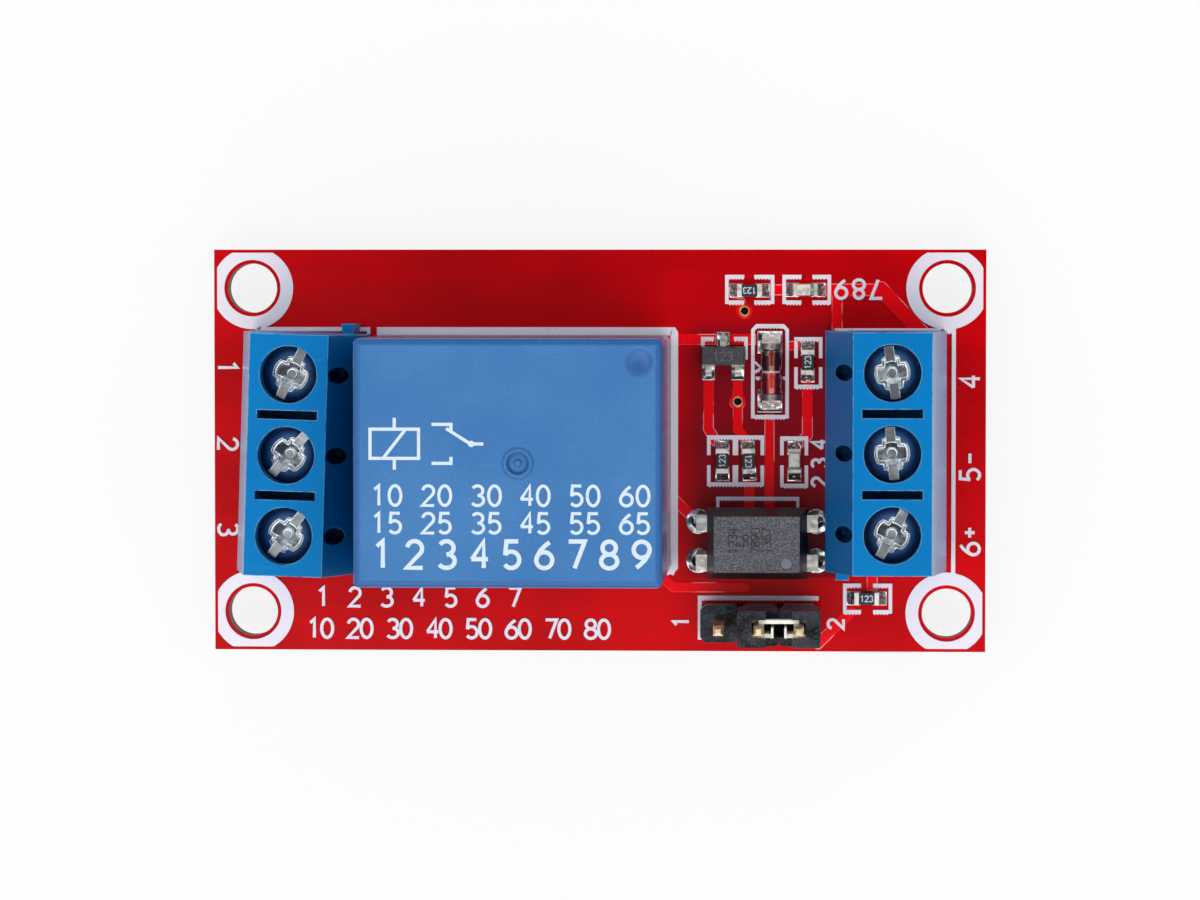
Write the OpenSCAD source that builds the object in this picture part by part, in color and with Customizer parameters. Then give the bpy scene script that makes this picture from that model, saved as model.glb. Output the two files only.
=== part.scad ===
// Single-channel relay module board: relay, opto input and two screw terminals on one red board.
// Origin: centre of the four mounting holes, on the underside of the board. +X runs to the input
// terminal, +Y to the transistor side, +Z out of the component side.

/* [Board] */
// Length of the board, along X
board_l = 50; // [50:0.5:56]
// Width of the board, along Y
board_w = 26; // [26:0.5:30]
// Thickness of the board
board_t = 1.6; // [1.2:0.2:2]
// Spacing of the mounting holes along X
hole_span_x = 45; // [44.5:0.5:45]
// Spacing of the mounting holes along Y
hole_span_y = 21; // [20.5:0.5:21]
// Diameter of the mounting holes
hole_d = 3.2; // [3:0.1:3.4]

/* [Relay] */
// Length of the relay cover
relay_l = 19.1; // [19:0.1:19.2]
// Width of the relay cover
relay_w = 15.4; // [15.4:0.1:15.6]
// Height of the relay above the board
relay_h = 15.3; // [15.3:0.1:16]
// Angle by which the armature stands open
armature_open = 2.4; // [2.2:0.1:2.4]

/* [Screw terminals] */
// Distance from one pole to the next
pole_pitch = 5.08; // [5:0.04:5.08]
// Number of poles in each block
pole_count = 3; // [3]
// Height of a block above the board
block_h = 10; // [10:0.1:10.5]
// Distance of each block's screws from the board centre
block_x = 19; // [18.9:0.05:19.1]
// Turn of the output block, as it was soldered in
output_skew = -1.8; // [-2:0.1:0]
// Diameter of the screw wells
well_d = 3.6; // [3.6:0.02:3.7]
// Diameter of the screw shanks
shank_d = 2.9; // [2.7:0.05:2.9]

/* [Header and jumper] */
// Spacing of the header pins
pin_pitch = 2.54; // [2.54]
// Side of a square header pin
pin_w = 0.64; // [0.6:0.01:0.64]
// Height of the header's plastic strip
strip_h = 2.5; // [2.3:0.1:2.54]
// Height of the jumper cap
jumper_h = 4.4; // [4.2:0.1:4.6]

/* [Small components] */
// Length of the optocoupler body
opto_l = 6.5; // [6.3:0.1:6.6]
// Width of the optocoupler body
opto_w = 4.6; // [4.4:0.1:4.8]
// Length of the glass diode
diode_l = 3.7; // [3.4:0.1:3.7]
// Length of a chip resistor or lamp
chip_l = 1.6; // [1.5:0.05:1.7]
// Width of a chip resistor or lamp
chip_w = 0.8; // [0.75:0.05:0.85]

/* [Hidden] */
$fn = 48;

// Amount by which a cut runs past the face that it opens
cut = 0.5;
// Free play between a moving piece and what guides it
play = 0.03;

// Layout on the board
relay_at = [-4.93, -0.2];
output_at = [-block_x - 0.22, 0.05];
input_at = [block_x - 0.17, 0.17];
header_at = [10.45, -11.05];
opto_at = [10.28, -5.85];
transistor_at = [8.05, 6.12];
diode_at = [11.17, 5.12];
// Chips: place, turn
resistor_spots = [
    [9.75, 10.36, 0], [13.52, 5.73, 90], [8.01, -0.65, 90], [9.7, -0.65, 93], [17.34, -9.54, 0]
];
power_lamp_spot = [13.34, 10.4, 0];
relay_lamp_spot = [12.66, -0.67, 90];
vias = [[8.98, 3.17], [9.42, 9.03]];
via_d = 0.6;

// Copper and solder
copper_t = 0.06;
track_w = 0.7;
wide_track_w = 3.2;
joint_h = 1.1;
pole_joint_r = 1.3;
blade_joint_r = 1.15;
pin_joint_r = 0.95;
opto_joint_r = 0.85;
tail = 1.4;
block_tail = 1.6;

// Relay: heights above the board top
wall = 0.8;
cover_z = 0.25;
edge_r = 0.35;
corner_r = 0.4;
mark_t = 0.03;
base_top = 1.6;
yoke_t = 1;
flange_t = 0.8;
pole_top = 11.2;
coil_x = relay_at[0] + 1.68;
yoke_x = relay_at[0] + 7.18;
yoke_w = 8;
core_r = 2;
rivet_r = 1.5;
tube_r = 2.7;
winding_r = 5;
blade_t = 0.4;
blade_w = 1;
contact_x = relay_at[0] - 6.72;
contact_y = 6.05;
coil_pin_x = relay_at[0] + 5.48;
coil_pin_y = 6;
coil_pin_w = 0.6;
// Hinge of the armature, on the top edge of the yoke
pivot_gap = 0.06;
pivot = [yoke_x + yoke_t / 2, relay_at[1], board_t + pole_top + pivot_gap];
arm_reach = 9.6;
arm_t = 1;
spring_t = 0.2;
tail_back = 0.68;
tail_drop = 3;
spring_reach = pivot[0] - contact_x + 0.9;
button_r = 1.1;
button_t = 0.4;
rivet_h = 0.5;
contact_gap = 0.08;

// Screw terminal: heights above the board top, distances along the wire's way
block_back = -4.19;
block_front = 3.5;
block_top_half = 2.48;
knee_h = 5.2;
cavity_w = 4;
cavity_back = -2.3;
cavity_front = 2.6;
frame_t = 0.6;
frame_floor = 0.9;
nut_t = 1.1;
nut_top = 5.7;
head_r = 1.7;
head_h = 1.3;
head_under = 7.5;
leaf_t = 0.4;
leaf_top = 3.7;
entry_w = 3;
slot_turns_output = [66, 51, 55];
slot_turns_input = [62, 95, 98];

// Header and jumper: heights above the board top
strip_w = 2.4;
pin_top = 8.5;
jumper_l = 5.3;
jumper_w = 2.34;
jumper_z = strip_h + 0.02;
jumper_at = [header_at[0] + pin_pitch / 2, header_at[1]];
sheet_t = 0.25;

// Chips
pad_t = copper_t;
cap_l = 0.3;
chip_t = 0.45;

// ---------- shared shapes ----------

// Moves its children to the board's top face
module on_board(place = [0, 0], turn = 0) {
    translate([place[0], place[1], board_t]) rotate([0, 0, turn]) children();
}

// Block of a given size, centred in X and Y, standing on z
module block(size, z = 0) {
    translate([-size[0] / 2, -size[1] / 2, z]) cube(size);
}

// Rectangle with round corners, from exact arcs
module round_rect(l, w, r) {
    square([l - 2 * r, w], center = true);
    square([l, w - 2 * r], center = true);
    for (sx = [-1, 1], sy = [-1, 1])
        translate([sx * (l / 2 - r), sy * (w / 2 - r)]) circle(r);
}

// Side view of a box whose two top corners are round
module arch_profile(l, h, r) {
    translate([-l / 2, 0]) square([l, h - r]);
    translate([-l / 2 + r, 0]) square([l - 2 * r, h]);
    for (s = [-1, 1]) translate([s * (l / 2 - r), h - r]) circle(r);
}

// Box with round upright edges and a round top edge
module soft_box(l, w, h, r_side, r_top) {
    intersection() {
        linear_extrude(h) round_rect(l, w, r_side);
        rotate([90, 0, 0]) translate([0, 0, -w]) linear_extrude(2 * w) arch_profile(l, h, r_top);
        rotate([90, 0, 90]) translate([0, 0, -l]) linear_extrude(2 * l) arch_profile(w, h, r_top);
    }
}

// Moulded body: widest at its parting line, drawn in above and below
module drafted_body(l, w, z0, z_mid, z1, draw) {
    intersection() {
        rotate([90, 0, 0]) translate([0, 0, -w]) linear_extrude(2 * w)
            drafted_profile(l, z0, z_mid, z1, draw);
        rotate([90, 0, 90]) translate([0, 0, -l]) linear_extrude(2 * l)
            drafted_profile(w, z0, z_mid, z1, draw);
    }
}

module drafted_profile(l, z0, z_mid, z1, draw) {
    polygon([
        [-l / 2 + draw, z0], [l / 2 - draw, z0], [l / 2, z_mid],
        [l / 2 - draw, z1], [-l / 2 + draw, z1], [-l / 2, z_mid]
    ]);
}

// Flat strip with round ends, a touch wider than itself, from one point to the next
module stroke(a, b, w) {
    run = norm(b - a);
    end_r = 0.51 * w;
    translate(a) circle(end_r);
    translate(b) circle(end_r);
    translate(a) rotate(atan2(b[1] - a[1], b[0] - a[0]))
        translate([0, -w / 2]) square([run, w]);
}

module path_strokes(points, w) {
    for (i = [0 : len(points) - 2]) stroke(points[i], points[i + 1], w);
}

// ---------- board, copper and solder ----------

function block_pole_y(i) = (i - (pole_count - 1) / 2) * pole_pitch;

// Where the pins stand, for the tracks that lead to them
function output_pole(i) = output_at + block_pole_y(i) * [sin(output_skew), -cos(output_skew)];
function input_pole(i) = input_at + [0, block_pole_y(i)];
function contact_pin(s) = [contact_x, relay_at[1] + s * contact_y];
function coil_pin(s) = [coil_pin_x, relay_at[1] + s * coil_pin_y];
function header_pin(i) = [header_at[0] + i * pin_pitch, header_at[1]];
function opto_pin(sx, sy) = [opto_at[0] + sx * 1.5 * pin_pitch, opto_at[1] + sy * pin_pitch / 2];

// Repeats its children at each pole of the output and the input block
module at_output_pole(i, skew = output_skew) {
    on_board(output_at, 180 + skew) translate([0, block_pole_y(i), 0]) children();
}

module at_input_pole(i) {
    on_board(input_at) translate([0, block_pole_y(i), 0]) children();
}

module at_all_poles(skew = output_skew) {
    for (i = [0 : pole_count - 1]) {
        at_output_pole(i, skew) children();
        at_input_pole(i) children();
    }
}

module at_contact_pins() {
    for (s = [-1, 1]) on_board(contact_pin(s)) children();
}

module at_coil_pins() {
    for (s = [-1, 1]) on_board(coil_pin(s)) children();
}

module at_common_pin() {
    on_board([yoke_x + 0.3, relay_at[1]]) children();
}

module at_header_pins() {
    for (i = [-1 : 1]) on_board(header_pin(i)) children();
}

// Repeats its children at the optocoupler's pins, on the board's top or in a flat drawing
module at_opto_pins(z = board_t) {
    for (sx = [-1, 1], sy = [-1, 1])
        translate([0, 0, z]) translate(opto_pin(sx, sy)) children();
}

module drill(d) {
    translate([0, 0, -board_t - cut]) cylinder(d = d, h = board_t + 2 * cut);
}

module circuit_board() {
    color([0.62, 0.03, 0.09]) difference() {
        linear_extrude(board_t) square([board_l, board_w], center = true);
        for (sx = [-1, 1], sy = [-1, 1])
            on_board([sx * hole_span_x / 2, sy * hole_span_y / 2]) drill(hole_d);
        at_all_poles(0) drill(1.5);
        at_contact_pins() drill(1.3);
        at_common_pin() drill(1.3);
        at_coil_pins() drill(1);
        at_header_pins() drill(1);
        at_opto_pins() drill(0.9);
        for (v = vias) on_board(v) drill(via_d);
    }
}

module copper_tracks() {
    color([0.86, 0, 0.08]) {
        upper_tracks();
        lower_tracks();
    }
}

// Wide tracks of the switched circuit and narrow ones of the supply, on the underside
module lower_tracks() {
    difference() {
        translate([0, 0, -copper_t]) linear_extrude(copper_t) difference() {
            union() {
                path_strokes([output_pole(1), [yoke_x + 0.3, relay_at[1]]], wide_track_w);
                path_strokes([output_pole(0), contact_pin(1)], wide_track_w);
                path_strokes([output_pole(2), contact_pin(-1)], wide_track_w);
                path_strokes([coil_pin(1), [6.2, 9], vias[1], [12.5, 8.2], [15.2, 6.6],
                    input_pole(2)], track_w);
                path_strokes([coil_pin(-1), [4.9, -3.6], [4.9, 1.6], [6.4, 3.1], vias[0]],
                    track_w);
                path_strokes([opto_pin(1, 1), [15.4, -3.3], [15.4, -1.6], input_pole(1)],
                    track_w);
                path_strokes([opto_pin(1, -1), input_pole(0)], track_w);
                path_strokes([header_pin(1), [15.4, -9.2], input_pole(0)], track_w);
                path_strokes([opto_pin(-1, -1), [6.47, -9.4], header_pin(-1)], track_w);
                for (v = vias) translate(v) circle(0.53);
            }
            for (v = vias) translate(v) circle(d = via_d);
        }
        at_all_poles() solder_clearance(pole_joint_r);
        at_contact_pins() solder_clearance(blade_joint_r);
        at_common_pin() solder_clearance(blade_joint_r);
        at_coil_pins() solder_clearance(pin_joint_r);
        at_header_pins() solder_clearance(pin_joint_r);
        at_opto_pins() solder_clearance(opto_joint_r);
    }
}

// Room for a solder cone in the copper of the underside
module solder_clearance(r) {
    translate([0, 0, -board_t - cut]) cylinder(r = r + 0.02, h = 2 * cut);
}

module upper_tracks() {
    on_board() linear_extrude(copper_t) difference() {
        union() {
            // Transistor's collector, diode and its series resistor
            path_strokes([[4, 7.2], [10.1, 7.2]], track_w);
            path_strokes([[11.6, 6.8], [13.2, 6.8]], 0.6);
            // Transistor's base and emitter
            path_strokes([[7.1, 4.6], [7.1, 1.4], [7.6, 0.6]], track_w);
            path_strokes([[9, 4.6], [9, 1.4], [9.5, 0.7]], 0.65);
            // Input stage
            path_strokes([[11.05, 2.2], [11.05, -4.6]], 0.65);
            path_strokes([[13.5, 4.5], [13.5, 1], [12.9, 0.4]], track_w);
            path_strokes([[9.75, -1.9], [9.75, -4.6]], track_w);
            path_strokes([[8.75, 10.35], [9.4, 9.05]], 0.75);
            // Supply rail across the top, to the terminal and down to the input
            path_strokes([[10.9, 10.4], [12.2, 10.4]], 0.7);
            path_strokes([[14.5, 10.4], [18.3, 10.4]], 0.8);
            path_strokes([[18.2, 10.45], [20.8, 7.7]], 1);
            path_strokes([[15.4, 10.4], [15.4, 7.6]], track_w);
            // Optocoupler and relay driver
            path_strokes([[6.3, -4.5], [4.6, -2.9]], track_w);
            path_strokes([[3.9, -8], [4.85, -8.85], [9.5, -8.85]], 0.65);
            path_strokes([[14.2, -12.5], [16.3, -10.4]], 0.7);
            path_strokes([[17.7, -7.6], [17.7, -9]], 0.7);
            for (v = vias) translate(v) circle(0.53);
        }
        for (v = vias) translate(v) circle(d = via_d);
        at_opto_pins(0) circle(d = 0.9);
        for (sx = [-1, 1], sy = [-1, 1])
            translate([sx * hole_span_x / 2, sy * hole_span_y / 2]) circle(d = 5.4);
        for (spot = chip_spots())
            translate([spot[0], spot[1]]) rotate(spot[2]) square([chip_l + 1, 1], center = true);
        translate(diode_at) square([2, diode_l + 1.8], center = true);
        for (pad = transistor_pads()) translate(pad) square([0.9, 1.1], center = true);
        at_opto_pins(0) circle(0.8);
        block_footprint();
    }
}

// Ground that the input block stands on
module block_footprint() {
    translate([input_at[0] + block_back, input_at[1] - block_l / 2])
        square([block_front - block_back, block_l]);
}

function chip_spots() = concat(resistor_spots, [power_lamp_spot, relay_lamp_spot]);

function transistor_pads() = [
    [transistor_at[0], transistor_at[1] + 1.05],
    [transistor_at[0] - 0.95, transistor_at[1] - 1.05],
    [transistor_at[0] + 0.95, transistor_at[1] - 1.05]
];

module solder_pads() {
    color([0.78, 0.79, 0.8]) on_board() linear_extrude(pad_t) {
        for (spot = chip_spots()) translate([spot[0], spot[1]]) rotate(spot[2])
            for (s = [-1, 1]) translate([s * (chip_l / 2 + 0.05), 0])
                square([0.9, 0.9], center = true);
        for (s = [-1, 1]) translate([diode_at[0] - 0.1, diode_at[1] + s * (diode_l / 2 + 0.05)])
            square([1.6, 1.45], center = true);
        for (pad = transistor_pads()) translate(pad) square([0.8, 1], center = true);
        difference() {
            at_opto_pins(0) circle(0.8);
            at_opto_pins(0) circle(d = 0.9);
            block_footprint();
        }
    }
}

module solder_fillets() {
    color([0.8, 0.81, 0.83]) {
        for (spot = chip_spots()) on_board(spot, spot[2]) for (s = [0, 180])
            rotate([0, 0, s]) translate([chip_l / 2, 0, pad_t]) solder_fillet(0.42, 0.78, 0.42);
        on_board(diode_at, 90) for (s = [0, 180])
            rotate([0, 0, s]) translate([diode_l / 2, 0, pad_t]) solder_fillet(0.6, 1.2, 0.6);
    }
}

// Fillet of solder as a wedge hollowed by a cylinder whose axis lies off the slope
module solder_fillet(l, w, h) {
    hollow_r = 0.78 * (l + h);
    off = 0.53 * (l + h);
    difference() {
        translate([0, w / 2, 0]) rotate([90, 0, 0]) linear_extrude(w)
            polygon([[0, 0], [l, 0], [0, h]]);
        translate([l / 2 + off, w, h / 2 + off]) rotate([90, 0, 0])
            cylinder(r = hollow_r, h = 2 * w);
    }
}

// Solder cone round a pin below the board, its flank hollow
module solder_cone(r, pin_r, h = joint_h) {
    translate([0, 0, -board_t]) mirror([0, 0, 1]) rotate_extrude() difference() {
        square([r, h]);
        translate([r + 0.02, h + 0.02]) circle(min(r - pin_r - 0.12, h * 0.98));
    }
}

module solder_joints() {
    color([0.75, 0.76, 0.78]) {
        difference() {
            at_all_poles() solder_cone(pole_joint_r, 0.5, 1.2);
            at_all_poles() block_pin();
        }
        difference() {
            at_contact_pins() solder_cone(blade_joint_r, 0.6);
            at_contact_pins() blade_pin(0);
        }
        difference() {
            at_common_pin() solder_cone(blade_joint_r, 0.6);
            at_common_pin() blade_pin(90);
        }
        difference() {
            at_coil_pins() solder_cone(pin_joint_r, 0.45);
            at_coil_pins() square_pin(coil_pin_w, tail, 0);
        }
        difference() {
            at_header_pins() solder_cone(pin_joint_r, 0.48);
            at_header_pins() square_pin(pin_w, tail, 0);
        }
        difference() {
            at_opto_pins() solder_cone(opto_joint_r, 0.35, 0.9);
            at_opto_pins() opto_tail();
        }
    }
}

// ---------- pins that pass through the board ----------

// Round tail of a terminal's frame, up to its floor plate
module block_pin() {
    translate([0, 0, -board_t - block_tail]) cylinder(d = 1, h = board_t + block_tail + frame_floor);
}

module blade_pin(turn, top = 0) {
    rotate([0, 0, turn]) block([blade_w, blade_t, board_t + tail + top], -board_t - tail);
}

module square_pin(w, below, top) {
    block([w, w, board_t + below + top], -board_t - below);
}

// ---------- relay ----------

inner_l = relay_l - 2 * wall;
inner_w = relay_w - 2 * wall;

module relay_cover() {
    face = relay_h - mark_t;
    gate = [0.64, 0];
    dimple = [8.13, 6.27];
    dimple_r = 1.55;
    color([0.13, 0.4, 0.66]) on_board(relay_at) {
        difference() {
            translate([0, 0, cover_z]) soft_box(relay_l, relay_w, face - cover_z, corner_r, edge_r);
            block([inner_l, inner_w, relay_h - wall + cut], -cut);
            // Ejector dimple and the pit round the gate mark
            translate([dimple[0], dimple[1], face + dimple_r - 0.3]) sphere(dimple_r);
            translate([gate[0], gate[1], face - 0.12]) cylinder(d = 1.3, h = cut);
        }
        // Gate mark: ring and pip, the highest points of the cover
        translate([gate[0], gate[1], face]) difference() {
            cylinder(d = 1.85, h = mark_t);
            translate([0, 0, -cut]) cylinder(d = 1.3, h = 2 * cut);
        }
        translate([gate[0], gate[1], face - 0.12]) cylinder(d = 0.45, h = mark_t + 0.12);
    }
}

module relay_base() {
    color([0.1, 0.12, 0.14]) difference() {
        union() {
            on_board(relay_at) block([inner_l, inner_w, base_top - cover_z], cover_z);
            on_board(relay_at) for (sx = [-1, 1], sy = [-1, 1])
                translate([sx * (inner_l / 2 - 1), sy * (inner_w / 2 - 1), 0])
                    cylinder(d = 1.2, h = cover_z + 0.2);
        }
        at_contact_pins() blade_pin(0, base_top + cut);
        at_common_pin() blade_pin(90, base_top + cut);
        at_coil_pins() square_pin(coil_pin_w, 0, base_top + cut);
    }
}

module relay_yoke() {
    back = yoke_x + yoke_t - (coil_x - 3.4);
    color([0.6, 0.61, 0.62]) on_board([0, relay_at[1]]) difference() {
        union() {
            translate([coil_x - 3.4, -yoke_w / 2, base_top]) cube([back, yoke_w, yoke_t]);
            translate([yoke_x, -yoke_w / 2, base_top]) cube([yoke_t, yoke_w, pole_top - base_top]);
        }
        translate([coil_x, 0, base_top - cut]) cylinder(r = rivet_r, h = yoke_t + 2 * cut);
    }
}

module coil_core() {
    color([0.66, 0.66, 0.67]) on_board([coil_x, relay_at[1]]) {
        translate([0, 0, base_top]) cylinder(r = rivet_r, h = yoke_t);
        translate([0, 0, base_top + yoke_t])
            cylinder(r = core_r, h = pole_top - base_top - yoke_t - flange_t);
        translate([0, 0, pole_top - flange_t]) cylinder(r = 3.5, h = flange_t);
    }
}

module coil_bobbin() {
    low = base_top + yoke_t;
    high = pole_top - flange_t;
    flange_l = 2 * (yoke_x - coil_x) - 0.4;
    color([0.9, 0.88, 0.8]) difference() {
        on_board([coil_x, relay_at[1]]) {
            block([flange_l, 11.2, flange_t], low);
            block([flange_l, 11.2, flange_t], high - flange_t);
            translate([0, 0, low]) cylinder(r = tube_r, h = high - low);
            translate([coil_pin_x - coil_x - 1, -6.6, low]) cube([2, 13.2, flange_t]);
        }
        on_board([coil_x, relay_at[1]]) cylinder(r = core_r, h = high + cut);
        at_coil_pins() square_pin(coil_pin_w, 0, low + flange_t + cut);
    }
}

module coil_winding() {
    low = base_top + yoke_t + flange_t;
    high = pole_top - 2 * flange_t;
    color([0.72, 0.36, 0.14]) on_board([coil_x, relay_at[1]]) translate([0, 0, low]) difference() {
        cylinder(r = winding_r, h = high - low);
        translate([0, 0, -cut]) cylinder(r = tube_r, h = high - low + 2 * cut);
    }
}

module coil_pins() {
    color([0.8, 0.8, 0.82]) at_coil_pins()
        square_pin(coil_pin_w, tail, base_top + yoke_t + flange_t + 0.9);
}

module common_pin() {
    color([0.8, 0.8, 0.82]) at_common_pin() blade_pin(90, base_top);
}

// Blade that rises from its pin and bends over to the contact
module contact_blade(s, z, button_side) {
    on_board([contact_x, relay_at[1]]) {
        translate([-blade_w / 2, s * contact_y - blade_t / 2, -board_t - tail])
            cube([blade_w, blade_t, board_t + tail + z]);
        translate([-0.7, s > 0 ? -1.1 : -contact_y - blade_t / 2, z])
            cube([1.4, contact_y + blade_t / 2 + 1.1, blade_t]);
        translate([0, 0, button_side > 0 ? z + blade_t : z - button_t])
            cylinder(r = button_r - 0.1, h = button_t);
    }
}

// Underside of the spring when the armature is pulled in, and its lift at the contact
closed_spring_z = pole_top + pivot_gap + arm_t;
rise = (spring_reach - 0.9) * sin(armature_open);

module normally_open_contact() {
    color([0.78, 0.6, 0.3])
        contact_blade(-1, closed_spring_z - rivet_h - contact_gap - button_t - blade_t, 1);
}

module normally_closed_contact() {
    color([0.78, 0.6, 0.3])
        contact_blade(1, closed_spring_z + spring_t + rivet_h + rise + contact_gap + button_t, -1);
}

// Moves its children with the open armature: x runs from the hinge toward the contacts
module at_armature() {
    translate(pivot) rotate([0, armature_open, 0]) mirror([1, 0, 0]) children();
}

module armature() {
    color([0.62, 0.62, 0.64]) at_armature() difference() {
        translate([-0.4, -yoke_w / 2, 0]) cube([arm_reach + 0.4, yoke_w, arm_t]);
        for (s = [-1, 1]) translate([2.6, s * 2, -cut]) cylinder(r = 0.6, h = arm_t + 2 * cut);
    }
}

module contact_spring() {
    color([0.8, 0.62, 0.32]) at_armature() difference() {
        union() {
            // Tongue over the hinge, bent down behind the yoke
            translate([-tail_back - spring_t, -2.6, arm_t]) cube([7, 5.2, spring_t]);
            translate([-tail_back - spring_t, -2.6, -tail_drop])
                cube([spring_t, 5.2, tail_drop + arm_t]);
            translate([0.5, -3.2, arm_t]) cube([6.5, 6.4, spring_t]);
            translate([6, -1.5, arm_t]) cube([spring_reach - 6, 3, spring_t]);
            for (s = [-1, 1]) translate([2.6, s * 2, 0]) cylinder(r = 0.6, h = arm_t + 0.4);
        }
        translate([spring_reach - 0.9, 0, 0]) cylinder(r = 0.5, h = arm_t + 2 * cut);
    }
}

module moving_contact() {
    color([0.85, 0.85, 0.86]) at_armature() translate([spring_reach - 0.9, 0, arm_t]) {
        translate([0, 0, -rivet_h]) cylinder(r = button_r, h = rivet_h);
        cylinder(r = 0.5, h = spring_t);
        translate([0, 0, spring_t]) cylinder(r = button_r, h = rivet_h);
    }
}

// ---------- screw terminals ----------

// Side view of a block: x along the wire, y up
module block_profile() {
    polygon([
        [block_back, 0], [block_front, 0], [block_front, 4.9],
        [block_top_half + 0.15, block_h - 0.7], [block_top_half, block_h],
        [-block_top_half, block_h], [block_back + 0.05, knee_h + 0.5], [block_back, knee_h]
    ]);
}

block_l = pole_count * pole_pitch;

// Dovetail ridge, or with a little play the groove that takes the next block's ridge
module dovetail(at_x, w, depth, play_w = 0) {
    translate([at_x, 0, 0]) linear_extrude(knee_h - 1) polygon([
        [-w / 2 + 0.15 - play_w, 0], [w / 2 - 0.15 + play_w, 0],
        [w / 2 + play_w, depth + play_w], [-w / 2 - play_w, depth + play_w]
    ]);
}

module terminal_housing() {
    difference() {
        union() {
            translate([0, block_l / 2, 0]) rotate([90, 0, 0]) linear_extrude(block_l) block_profile();
            translate([0, -block_l / 2, 0]) mirror([0, 1, 0]) {
                dovetail(-3.1, 0.9, 0.65);
            }
        }
        // Grooves in the far end
        translate([0, block_l / 2 + 0.001, -cut]) mirror([0, 1, 0]) {
            dovetail(-3.1, 0.9, 0.65, 0.08);
        }
        for (i = [0 : pole_count - 1]) translate([0, block_pole_y(i), 0]) {
            // Screw well, cavity for the frame, wire's way in
            translate([0, 0, nut_top - cut]) cylinder(d = well_d, h = block_h);
            translate([cavity_back, -cavity_w / 2, -cut])
                cube([cavity_front - cavity_back, cavity_w, nut_top + cut]);
            translate([0, -entry_w / 2, 1.5]) cube([block_front + cut, entry_w, 1.5]);
            translate([0, 0, 3]) rotate([0, 90, 0]) cylinder(d = entry_w, h = block_front + cut);
            // Test hole in the back slope
            translate([-3.03, 0, 6.5]) cylinder(d1 = 0.3, d2 = 1.05, h = 0.4);
            translate([-3.03, 0, 6.9]) cylinder(d = 1.05, h = block_h);
            // Funnel round the wire's way in
            translate([block_front - 0.25, -entry_w / 2 - 0.3, 1.2]) cube([1, entry_w + 0.6, 2.1]);
            translate([block_front - 0.25, 0, 3.3 - 0.3]) rotate([0, 90, 0])
                cylinder(d = entry_w + 0.6, h = 1);
        }
        // Slots between the poles
        for (i = [0 : pole_count - 2])
            translate([-1.9, block_pole_y(i) + pole_pitch / 2 - 0.275, 6.2])
                cube([3.8, 0.55, block_h]);
    }
}

// Frame folded from brass: floor, back and threaded top, with the tail under the floor
module contact_frame() {
    difference() {
        union() {
            translate([cavity_back, -cavity_w / 2, frame_floor])
                cube([cavity_front - cavity_back - 0.2, cavity_w, frame_t]);
            translate([cavity_back, -cavity_w / 2, frame_floor])
                cube([frame_t, cavity_w, nut_top - frame_floor]);
            translate([cavity_back, -cavity_w / 2, nut_top - nut_t])
                cube([cavity_front - cavity_back, cavity_w, nut_t]);
            block_pin();
        }
        translate([0, 0, nut_top - nut_t - cut]) cylinder(d = shank_d + 2 * play, h = nut_t + 2 * cut);
    }
}

// Leaf that the screw presses on the wire
module wire_clamp() {
    leaf_l = cavity_front - cavity_back - frame_t - 0.3;
    color([0.8, 0.78, 0.7]) translate([cavity_back + frame_t + 0.1, 0, leaf_top - leaf_t]) {
        translate([0, -cavity_w / 2 + 0.2, 0]) cube([leaf_l, cavity_w - 0.4, leaf_t]);
        for (x = [1, 2.2]) translate([x, -1.4, 0]) rotate([-90, 0, 0]) cylinder(r = 0.09, h = 2.8);
    }
}

// Cross-shaped punch whose four arms run down to a point, standing on its tip
module cross_punch(arm_l, arm_w, tip_r, depth) {
    intersection() {
        union() {
            block([arm_l, arm_w, depth + cut]);
            block([arm_w, arm_l, depth + cut]);
        }
        union() {
            cylinder(r1 = tip_r, r2 = arm_l / 2, h = depth);
            translate([0, 0, depth]) cylinder(r = arm_l / 2, h = cut);
        }
    }
}

// Screw with a domed head, a full slot and a cross recess with a pressed-in rim
module clamp_screw(slot_turn) {
    dome_r = 3;
    head_top = head_under + head_h;
    color([0.75, 0.78, 0.82]) difference() {
        union() {
            translate([0, 0, leaf_top + 0.02]) cylinder(d1 = shank_d - 0.8, d2 = shank_d, h = 0.4);
            translate([0, 0, leaf_top + 0.42]) cylinder(d = shank_d, h = head_under - leaf_top - 0.42);
            intersection() {
                translate([0, 0, head_under]) cylinder(r = head_r, h = head_h);
                translate([0, 0, head_top - dome_r]) sphere(dome_r);
            }
        }
        rotate([0, 0, slot_turn]) translate([0, 0, head_top]) {
            translate([0, 0, -0.55]) block([2 * head_r + cut, 0.62, 1]);
            translate([0, 0, -1]) cross_punch(2.45, 0.8, 0.3, 1);
            translate([0, 0, -0.95]) cylinder(r1 = 0.25, r2 = 0.88, h = 1);
            translate([0, 0, -0.32]) cross_punch(2.6, 1.15, 1, 0.32);
        }
    }
}

module output_housing() {
    color([0.02, 0.42, 0.72]) on_board(output_at, 180 + output_skew) terminal_housing();
}

module input_housing() {
    color([0.02, 0.42, 0.72]) on_board(input_at) terminal_housing();
}

module output_contact_frames() {
    color([0.8, 0.7, 0.42]) for (i = [0 : pole_count - 1]) at_output_pole(i) contact_frame();
}

module input_contact_frames() {
    color([0.8, 0.7, 0.42]) for (i = [0 : pole_count - 1]) at_input_pole(i) contact_frame();
}

// ---------- header and jumper ----------

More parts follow.
